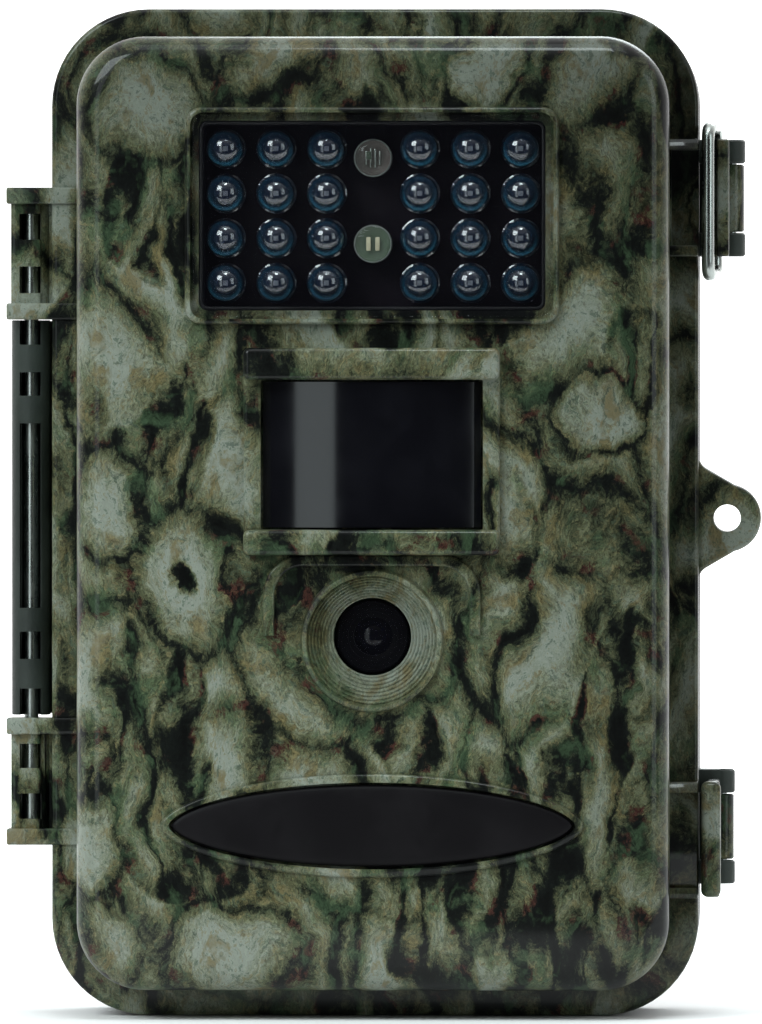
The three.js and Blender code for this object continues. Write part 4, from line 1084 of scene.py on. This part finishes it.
def key_mark(node, x, z, low, high):
    turns = {"key_up": 90, "key_down": -90, "key_left": 180, "key_right": 0, "key_replay": 0}
    if node == "key_menu":
        return extrude(f"{node}_mark", rect(x - 1.1, x + 1.1, z - 0.9, z + 0.9, 0.3, 3), "XZ", low, high)
    if node not in turns:
        return turned(f"{node}_mark", x, z, [(0.9, low), (1.35, low), (1.35, high), (0.9, high)], 32)
    turn = math.radians(turns[node])
    cos, sin = math.cos(turn), math.sin(turn)
    corners = ((1.15, 0), (-0.65, 1.05), (-0.65, -1.05))
    arrow = [(x + a * cos - b * sin, z + a * sin + b * cos) for a, b in corners]
    return extrude(f"{node}_arrow", arrow, "XZ", low, high)


def power_switch():
    x, _, z = middle("power_switch")
    _, (y0, y1), _ = span("power_switch")
    knob = box("switch_knob", (x - 2, x + 2), (y0, -5.6), (z - 1.5, z + 1.5), 0.1)
    join(knob, box("cap", (x - 2, x + 2), (-6.3, y1), (z - 3, z + 3), 0.35, 3))
    grooves = []
    for place in (x - 1.15, x, x + 1.15):
        grooves.append(box("groove", (place - 0.25, place + 0.25), (y1 - 0.45, y1 + 1), (z - 4, z + 4), 0.1))
    cut(knob, *grooves)
    deliver(knob, "key", "power_switch")
    for i, place in enumerate((x - 3.0, x, x + 3.0), 1):
        tick = box(f"switch_tick_{i}", (place - 0.2, place + 0.2), (-6.62, -6.55), (z + 4.2, z + 5.6), 0.02)
        deliver(tick, "mark", body="door")


def sockets():
    (x0, x1), (y0, y1), _ = span("usb_socket")
    z = middle("usb_socket")[2]
    usb = slab("usb_shell", around("usb_socket", 0, 0.8), y0, y1, 0.1, 0.15)
    cut(usb, slab("mouth", around("usb_socket", -0.5, 0.5), y0 + 0.8, 0))
    deliver(usb, "steel", "usb_socket")
    tongue = box("usb_tongue", (x0 + 1.4, x1 - 1.4), (y0 + 0.5, y1 - 0.6), (z - 0.35, z + 0.35), 0.08)
    deliver(tongue, "black", body="door")
    x, _, z = middle("video_socket")
    _, (y0, y1), _ = span("video_socket")
    jack = slab("video_jack", around("video_socket", 0, 0.6), y0, y1, 0.1, 0.2)
    cut(jack, rod("mouth", (x, y0 + 0.8, z), (x, 0, z), 1.75, 0.05))
    deliver(jack, "black", "video_socket")
    collar = [(1.75, y1 - 1.6), (2.4, y1 - 0.2), (2.4, y1 + 0.05), (1.75, y1 + 0.05)]
    deliver(turned("video_collar", x, z, collar, 40), "steel", body="door")


def memory_slot():
    (x0, x1), (y0, y1), (z0, z1) = span("memory_card")
    notch = 4.0
    outline = [(x0, z0), (x1, z0), (x1, z1), (x0 + notch, z1), (x0, z1 - notch)]
    card = extrude("sd_card", outline, "XZ", y0, y1, 0.15)
    grips = []
    for low in (z0 + 1.2, z0 + 2.1, z0 + 3.0):
        grips.append(box("grip", (x0 + 3, x1 - 3), (y1 - 0.15, y1 + 0.2), (low, low + 0.4), 0.1))
    cut(card, *grips)
    deliver(card, "card", "memory_card")
    xs, ys, (low, high) = span("card_slot")
    middle_x = (x0 + x1) / 2
    housing = box("card_housing", xs, ys, (low, high), 0.3)
    mouth = box("mouth", (x0 - 0.3, x1 + 0.3), (y0 - 0.3, y1 + 0.3), (low - 5, high - 1.4), 0.1)
    thumb = rod("thumb", (middle_x, y1 - 0.2, low), (middle_x, 6, low), 6.0, 0.1, 48)
    lances = [box("lance", (x - 0.6, x + 0.6), (y1 + 0.1, 6), (low + 14, low + 21), 0.1)
              for x in (xs[0] + 5, xs[1] - 5)]
    cut(housing, mouth, thumb, *lances)
    deliver(housing, "steel", "card_slot")


def screws():
    """Cross-head screws: the panel's face the back, the tray's face the front."""
    for group, towards in (("panel_screw", 1), ("tray_screw", -1)):
        for i in range(1, 5):
            node = f"{group}_{i}"
            x, _, z = middle(node)
            end, top = span(node)[1][::towards]
            base = top - towards * 1.4
            profile = [(0, end), (1.2, end), (1.2, base), (2.4, base), (2.45, base + towards * 0.3),
                       (2.1, base + towards * 0.95), (1.3, top - towards * 0.1), (0, top)]
            screw = turned(f"{node}_head", x, z, profile, 32)
            deep = sorted((top - towards * 0.9, top + towards))
            cut(screw, box("slot", (x - 1.4, x + 1.4), deep, (z - 0.28, z + 0.28), 0.05),
                box("slot", (x - 0.28, x + 0.28), deep, (z - 1.4, z + 1.4), 0.05))
            deliver(screw, "screw", node)


# ---------- rear shell ----------
def ridge(side, name):
    """One toothed ridge that grips the tree."""
    x, half, low, high, back, teeth = side * RIDGE_X, 4.5, 16.0, 124.0, 26.4, 12
    pitch = (high - low) / teeth
    outline = [(REAR_BACK_Y - 1, low), (REAR_BACK_Y - 1, high), (back - 3, high)]
    for i in reversed(range(teeth)):
        z = low + i * pitch
        outline += [(back - 1.6, z + pitch * 0.98), (back, z + pitch * 0.7), (back, z + pitch * 0.3),
                    (back - 1.6, z + pitch * 0.02)]
    outline.append((back - 3, low))
    return extrude(name, outline, "YZ", x - half, x + half, 0.25)


def lugs(pin, radius, low, high):
    """The two barrels that carry a latch pin, each with an arm to the side wall."""
    x, y = pin
    height = 3.3
    arm = [(HALF - 1, y - radius), (x, y - radius), (x, y + radius), (HALF - 1, y + radius + 2.5)]
    parts = []
    for z0, z1 in ((low, low + height), (high - height, high)):
        parts.append(rod("lug", (x, y, z0), (x, y, z1), radius, 0.25))
        parts.append(extrude("lug_arm", arm, "XY", z0, z1, 0.2))
    return parts


def rear_features():
    """What stands out from the rear shell's wall."""
    x, y = PIN
    z0, z1 = REAR_SPAN
    web = extrude("web", [(x - BARREL_R, y), (x + BARREL_R, y), (x + BARREL_R, REAR_FRONT_Y),
                          (-HALF + 1, REAR_FRONT_Y), (-HALF + 1, 2.5), (-HALF, 2.5), (x - BARREL_R, y + 4.5)],
                  "XY", z0, z1, 0.2)
    ear = extrude("ear", ear_outline(), "XZ", REAR_FRONT_Y, -0.6, 0.35, 3)
    # Cross ribs on the back between the two toothed ridges
    stiff = [box("rib", (-25, 25), (REAR_BACK_Y - 0.5, REAR_BACK_Y + 0.8), (z, z + 1.6), 0.3)
             for z in (94, 100, 106, 112)]
    # Low pads on the side wall behind each latch, between its lugs
    pads = [box("pad", (HALF - 2, HALF + 1.4), (4.6, 9.0), (low + 3.0, high - 3.0), 0.2)
            for low, high in (UPPER_LUGS, LOWER_LUGS)]
    return [web, ear, ridge(-1, "ridge_left"), ridge(1, "ridge_right"), *lugs(UPPER_PIN, 2.0, *UPPER_LUGS),
            *lugs(LOWER_PIN, 1.9, *LOWER_LUGS), *stiff, *pads, barrel(z0 - 0.12, z1 + 0.12)]


def rear_cuts():
    mouth = slab("mouth", housing_outline(5), -20, 1, 0, 0)
    cavity = slab("cavity", housing_outline(2.5), REAR_FRONT_Y + 3.6, REAR_BACK_Y - 2.5, 0.2, 0.6)
    groove = frame_ring("groove", housing_outline(1.7), housing_outline(3.5), REAR_FRONT_Y - 1,
                        REAR_FRONT_Y + 1.7, 0.1)
    slots = [box("slot", (x - 8, x + 8), (REAR_BACK_Y, 24.4), (58, 86), 0.3) for x in (-RIDGE_X, RIDGE_X)]
    latch_holes = [rod("latch_hole", (*UPPER_PIN, 100), (*UPPER_PIN, 126), LATCH_BORE_R, 0.1),
                   rod("latch_hole", (*LOWER_PIN, 15), (*LOWER_PIN, 38), LATCH_BORE_R, 0.1)]
    _, y, z = middle("power_jack")
    jack = [rod("jack_hole", (40, y, z), (50, y, z), 2.9, 0.05),
            rod("jack_sink", (44, y, z), (50, y, z), 5.0, 0.05, 48)]
    return [mouth, cavity, groove, *slots, *shared_holes(), *latch_holes, *jack,
            *hinge_windows(*REAR_SPAN, REAR_WINDOWS)]


def rear_shell():
    shell = slab("rear_shell", housing_outline(0), REAR_FRONT_Y, REAR_BACK_Y, 0.25, 3.0, 7)
    join(shell, *rear_features())
    cut(shell, *rear_cuts())
    posts, holes = [], []
    for i in range(1, 5):
        x, _, z = middle(f"tray_screw_{i}")
        posts.append(rod("post", (x, 12.1, z), (x, 19, z), 2.8, 0.1))
        holes.append(rod("post_hole", (x, 0, z), (x, 18, z), 1.6, 0.1))
    join(shell, *posts)
    cut(shell, *holes)
    deliver(shell, "rear", "rear_cover", angle=35)
    _, (y0, y1), _ = span("gasket")
    deliver(frame_ring("seal", housing_outline(2.0), housing_outline(3.2), y0, y1, 0.35), "rubber", "gasket")


def pins():
    """The hinge pin, and a plain pin in each latch."""
    z0, z1 = span("hinge_pin")[2]
    low, high = z0 + 0.5, z1 - 0.6
    profile = [(0, low), (0.8, low), (1.0, low + 0.2), (1.0, high - 0.2), (0.8, high), (0, high)]
    deliver(lathe("pin", (*PIN, 0), (0, 0, 1), profile, 32), "steel", "hinge_pin")
    for node in ("upper_latch_pin", "lower_latch_pin"):
        x, y, _ = middle(node)
        z0, z1 = span(node)[2]
        deliver(rod(f"{node}_rod", (x, y, z0), (x, y, z1), 0.8), "steel", node)


def tripod_mount():
    """A boss ring on the back round a threaded brass nut."""
    x, _, z = middle("tripod_boss")
    y0, y1 = span("tripod_boss")[1]
    ring = [(5.3, y0), (10.8, y0), (11, y0 + 0.2), (11, y1 - 0.5), (10.5, y1), (5.6, y1), (5.3, y1 - 0.3)]
    deliver(turned("tripod_ring", x, z, ring, 72), "rear", "tripod_boss")
    y0, y1 = span("tripod_insert")[1]
    nut = [(0, y0), (5, y0), (5, y1 - 0.2), (4.8, y1), (3.5, y1), (3.2, y1 - 0.3)]
    y, thread_pitch = y1 - 0.3, 1.2
    while y - 1.3 > y0 + 1:
        nut += [(3.6, y - 0.6), (3.2, y - thread_pitch)]
        y -= thread_pitch
    deliver(turned("tripod_nut", x, z, nut + [(3.2, y0 + 1), (0, y0 + 1)]), "brass", "tripod_insert")


def power_jack():
    """The jack in the right-hand wall, and the rubber plug that covers it."""
    _, y, z = middle("power_jack")
    jack = box("jack_body", *span("power_jack"), 0.3)
    cut(jack, rod("bore", (36, y, z), (50, y, z), 2.9, 0.05))
    deliver(jack, "black", "power_jack")
    x0, x1 = span("port_plug")[0]
    profile = [(0, x0), (2.2, x0), (2.5, x0 + 0.4), (2.5, 41), (2.7, 41.3), (2.5, 41.6), (2.5, 44.3),
               (4.6, 44.3), (4.65, 44.5), (4.4, x1 - 0.05), (0, x1)]
    plug = lathe("plug", (0, y, z), (1, 0, 0), profile)
    cut(plug, box("grip", (44.7, 46), (y - 0.4, y + 0.4), (z - 2.8, z + 2.8), 0.1))
    deliver(plug, "rubber", "port_plug")


# ---------- battery tray ----------
def battery_bays():
    """Middle X, ends in Z, row and column of each bay."""
    pitch, bay, wall = 16.0, 55.6, 2.2
    for row in range(2):
        for column in range(4):
            start = span("battery_tray")[2][0] + wall + row * (bay + wall)
            yield (column - 1.5) * pitch, start, start + bay, row, column


def battery_tray():
    _, (y0, y1), (low, high) = span("battery_tray")
    half, radius = 33.0, 7.55
    tray = box("cell_tray", (-half, half), (y0, y1), (low, high), 0.5, 3)
    tabs, holes = [], []
    for i in range(1, 5):
        x, _, z = middle(f"tray_screw_{i}")
        side = math.copysign(1, x)
        edge = sorted((side * (half - 0.5), x + side * 2.4))
        tabs.append(box("tab", edge, (10, 11.8), (z - 3.5, z + 3.5), 0.3))
        holes.append(rod("hole", (x, 5, z), (x, 15, z), 1.6, 0.05))
    join(tray, *tabs)
    bays = []
    for x, z0, z1, _, _ in battery_bays():
        bays.append(rod("bay", (x, CELL_Y, z0), (x, CELL_Y, z1), radius, 0.02, 48))
        reach, middle_z = radius - 0.03, (z0 + z1) / 2
        bays.append(box("bay_mouth", (x - reach, x + reach), (y0 - 3, CELL_Y), (z0 + 0.01, z1 - 0.01), 0.0))
        bays.append(rod("scoop", (x, y0 - 5.2, middle_z - 8), (x, y0 - 5.2, middle_z + 8), 9.6, 0.2, 48))
    cut(tray, *bays, *holes)
    deliver(tray, "black", "battery_tray")


def battery_contacts():
    """A plate with a spring or a button at each end of a bay; column 0's plates stand for the CAD strips."""
    for x, z0, z1, row, column in battery_bays():
        cell = row * 4 + column + 1
        for end, (z, towards) in enumerate(((z0, 1), (z1, -1))):
            label = f"{cell}_{('low', 'high')[end]}"
            face = sorted((z + 0.3 * towards, z + 0.8 * towards))
            plate = box(f"contact_plate_{label}", (x - 5, x + 5), (5.0, 13.9), face, 0.12)
            strip = f"contact_strip_{row * 2 + end + 1}" if column == 0 else None
            deliver(plate, "spring", strip, body="housing")
            if column % 2 == end:
                path = helix((x, CELL_Y), z + 0.8 * towards, z + 5.0 * towards, (3.5, 1.8), 3.5)
                contact = wire(f"contact_spring_{label}", path, 0.36, 10, 0.1)
            else:
                button = [(0, z + 0.75 * towards), (2.6, z + 0.75 * towards), (2.2, z + 1.3 * towards),
                          (0, z + 1.45 * towards)]
                contact = lathe(f"contact_button_{label}", (x, CELL_Y, 0), (0, 0, 1), button, 32)
            deliver(contact, "spring", body="housing")
        low = (z0 + z1) / 2 - 18.3
        bar = box(f"polarity_bar_{cell}", (x - 1.6, x + 1.6), (16.35, 16.6), (low, low + 0.6), 0.05)
        deliver(bar, "mark", body="housing")


# ---------- latches ----------
def lever(name, strip_x, front, pin, radius, heights, lug_heights):
    """A flat strip, and the barrel and stem that join it to its pin between the lugs."""
    x, y = pin
    z0, z1 = lug_heights[0] + 3.45, lug_heights[1] - 3.45
    thickness = 1.7
    xs = (strip_x, strip_x + thickness)
    arm = box(name, xs, (front, y - 2.6), heights, 0.35, 3)
    turns_on = rod("barrel", (x, y, z0), (x, y, z1), radius, 0.2)
    return arm, [turns_on, box("stem", xs, (y - 3.2, y), (z0, z1), 0.15)]


def upper_latch():
    low, high = UPPER_LUGS
    boss = (47.35, -3)
    arm, parts = lever("upper_lever_arm", 47.5, -10.1, UPPER_PIN, 1.85, (low, high), UPPER_LUGS)
    join(arm, *parts, rod("boss", (*boss, low), (*boss, high), 1.8))
    cut(arm, rod("bore", (*UPPER_PIN, 100), (*UPPER_PIN, 126), LATCH_BORE_R, 0.05),
        rod("hole", (*boss, 100), (*boss, 109.6), 1.2, 0.05),
        rod("hole", (*boss, 117.9), (*boss, 126), 1.2, 0.05))
    deliver(arm, "bark", "upper_latch")
    hook = (46.3, -11.4)
    path = rounded_path([(*boss, 118.9), (*boss, 123.4), (*hook, 123.4), (*hook, 103.1), (*boss, 103.1),
                         (*boss, 108.6)], 1.9, 10)
    deliver(wire("wire_bail", path, 0.9, 28), "steel", "upper_bail", angle=60)


def lower_latch():
    low, high = 16.6, 32.7
    arm, parts = lever("lower_lever_arm", 46.2, -12.2, LOWER_PIN, 1.75, (low, high), LOWER_LUGS)
    join(arm, *parts, slab("lip", rect_outline(45.35, 48.1, low, high, 1.0, 6), -13.0, -10.8, 0.9, 0.4))
    cut(arm, rod("bore", (*LOWER_PIN, 12), (*LOWER_PIN, 38), LATCH_BORE_R, 0.05))
    deliver(arm, "bark", "lower_latch")


# ---------- stage ----------
def paper_floor():
    """A pale sheet that curves up into a far wall, and glows more the further back it lies."""
    radius, front, back, width = 1.2, -0.17, 3.0, 6.0
    profile = [(front, 0.0), (back, 0.0)]
    for i in range(1, 17):
        angle = math.pi / 2 * i / 16
        profile.append((back + radius * math.sin(angle), radius * (1 - math.cos(angle))))
    profile.append((back + radius, 7.0))
    sheet = bmesh.new()
    rows = [[sheet.verts.new((x, y, z - 0.0001)) for x in (-width, width)] for y, z in profile]
    for low, high in zip(rows, rows[1:]):
        sheet.faces.new((low[0], low[1], high[1], high[0])).smooth = True
    mesh = bpy.data.meshes.new("floor")
    sheet.to_mesh(mesh)
    sheet.free()
    floor = bpy.data.objects.new("floor", mesh)
    bpy.context.scene.collection.objects.link(floor)
    paper = Look("paper", (0.9, 0.9, 0.9), 0.9, Emission_Color=(1.0, 1.0, 1.0, 1.0))
    paper.feed(paper.remap(paper.axes()["Y"], 0.02, 0.9), paper.shader.inputs["Emission Strength"])
    cloud = paper.noise(paper.stretch(60, 60, 60), 2.0)
    paper.color(paper.mix(cloud, (0.89, 0.89, 0.89), (0.92, 0.92, 0.92)))
    floor.data.materials.append(paper.material)


def room():
    """A dark room ahead of the object, a bright wall behind it and a bright ceiling."""
    world = bpy.data.worlds.new("studio")
    bpy.context.scene.world = world
    world.use_nodes = True
    tree = world.node_tree
    parts = tree.nodes.new("ShaderNodeSeparateXYZ")
    tree.links.new(tree.nodes.new("ShaderNodeTexCoord").outputs["Generated"], parts.inputs[0])
    total = tree.nodes.new("ShaderNodeMath")
    total.operation = "ADD"
    for slot, (axis, low, high, top) in enumerate((("Y", -0.35, 0.5, 0.9), ("Z", 0.25, 0.95, 0.55))):
        level = tree.nodes.new("ShaderNodeMapRange")
        level.interpolation_type = "SMOOTHSTEP"
        tree.links.new(parts.outputs[axis], level.inputs["Value"])
        for socket, number in {"From Min": low, "From Max": high, "To Min": 0.012, "To Max": top}.items():
            level.inputs[socket].default_value = number
        tree.links.new(level.outputs["Result"], total.inputs[slot])
    background = tree.nodes["Background"]
    tree.links.new(total.outputs[0], background.inputs["Strength"])
    background.inputs["Color"].default_value = (1.0, 1.0, 1.0, 1.0)


def softbox(name, place, size, power):
    """A rectangular light aimed at the middle of the object."""
    light = bpy.data.lights.new(name, "AREA")
    light.shape = "RECTANGLE"
    light.size, light.size_y = size
    light.energy = power
    light.color = DAYLIGHT
    lamp = bpy.data.objects.new(name, light)
    lamp.location = place
    aim = Vector((0.0, 0.0, TOP / 2 * MM)) - Vector(place)
    lamp.rotation_euler = aim.to_track_quat("-Z", "Y").to_euler()
    bpy.context.scene.collection.objects.link(lamp)


def studio():
    paper_floor()
    room()
    softbox("key", (-0.75, -0.95, 0.85), (0.7, 0.7), 13.9)
    softbox("strip", (-0.46, -1.0, 0.07), (0.32, 0.9), 1.5)
    softbox("fill", (1.0, -0.8, 0.35), (0.5, 0.8), 2.7)
    softbox("top", (0.1, -0.3, 1.2), (0.8, 0.5), 2.2)
    softbox("spark", (0.1, -0.6, 1.17), (0.3, 0.26), 3.2)
    softbox("back", (0.3, 1.2, 0.9), (0.8, 0.6), 8.0)
    bpy.context.scene.view_settings.view_transform = "Standard"


def photo_camera():
    """The photograph's view: from far off, a little to the right and a little above."""
    distance, azimuth, elevation = 2.2, math.radians(1.6), math.radians(0.8)
    target = Vector((0.83 * MM, FLANGE_Y * MM, 70.06 * MM))
    frame_height = 142.4 * MM
    away = Vector((math.sin(azimuth) * math.cos(elevation), -math.cos(azimuth) * math.cos(elevation),
                   math.sin(elevation)))
    data = bpy.data.cameras.new("camera")
    data.sensor_fit = "VERTICAL"
    data.sensor_height = 36.0
    data.lens = data.sensor_height * distance / frame_height
    data.clip_start = 0.01
    camera = bpy.data.objects.new("camera", data)
    camera.location = target + away * distance
    camera.rotation_euler = (-away).to_track_quat("-Z", "Y").to_euler()
    bpy.context.scene.collection.objects.link(camera)
    bpy.context.scene.camera = camera


photo_camera()
studio()
front_shell()
lamp_array()
round_sensors()
pir_window()
lens_stack()
badge()
inner_panel()
keys()
power_switch()
sockets()
memory_slot()
screws()
rear_shell()
pins()
tripod_mount()
power_jack()
battery_tray()
battery_contacts()
upper_latch()
lower_latch()
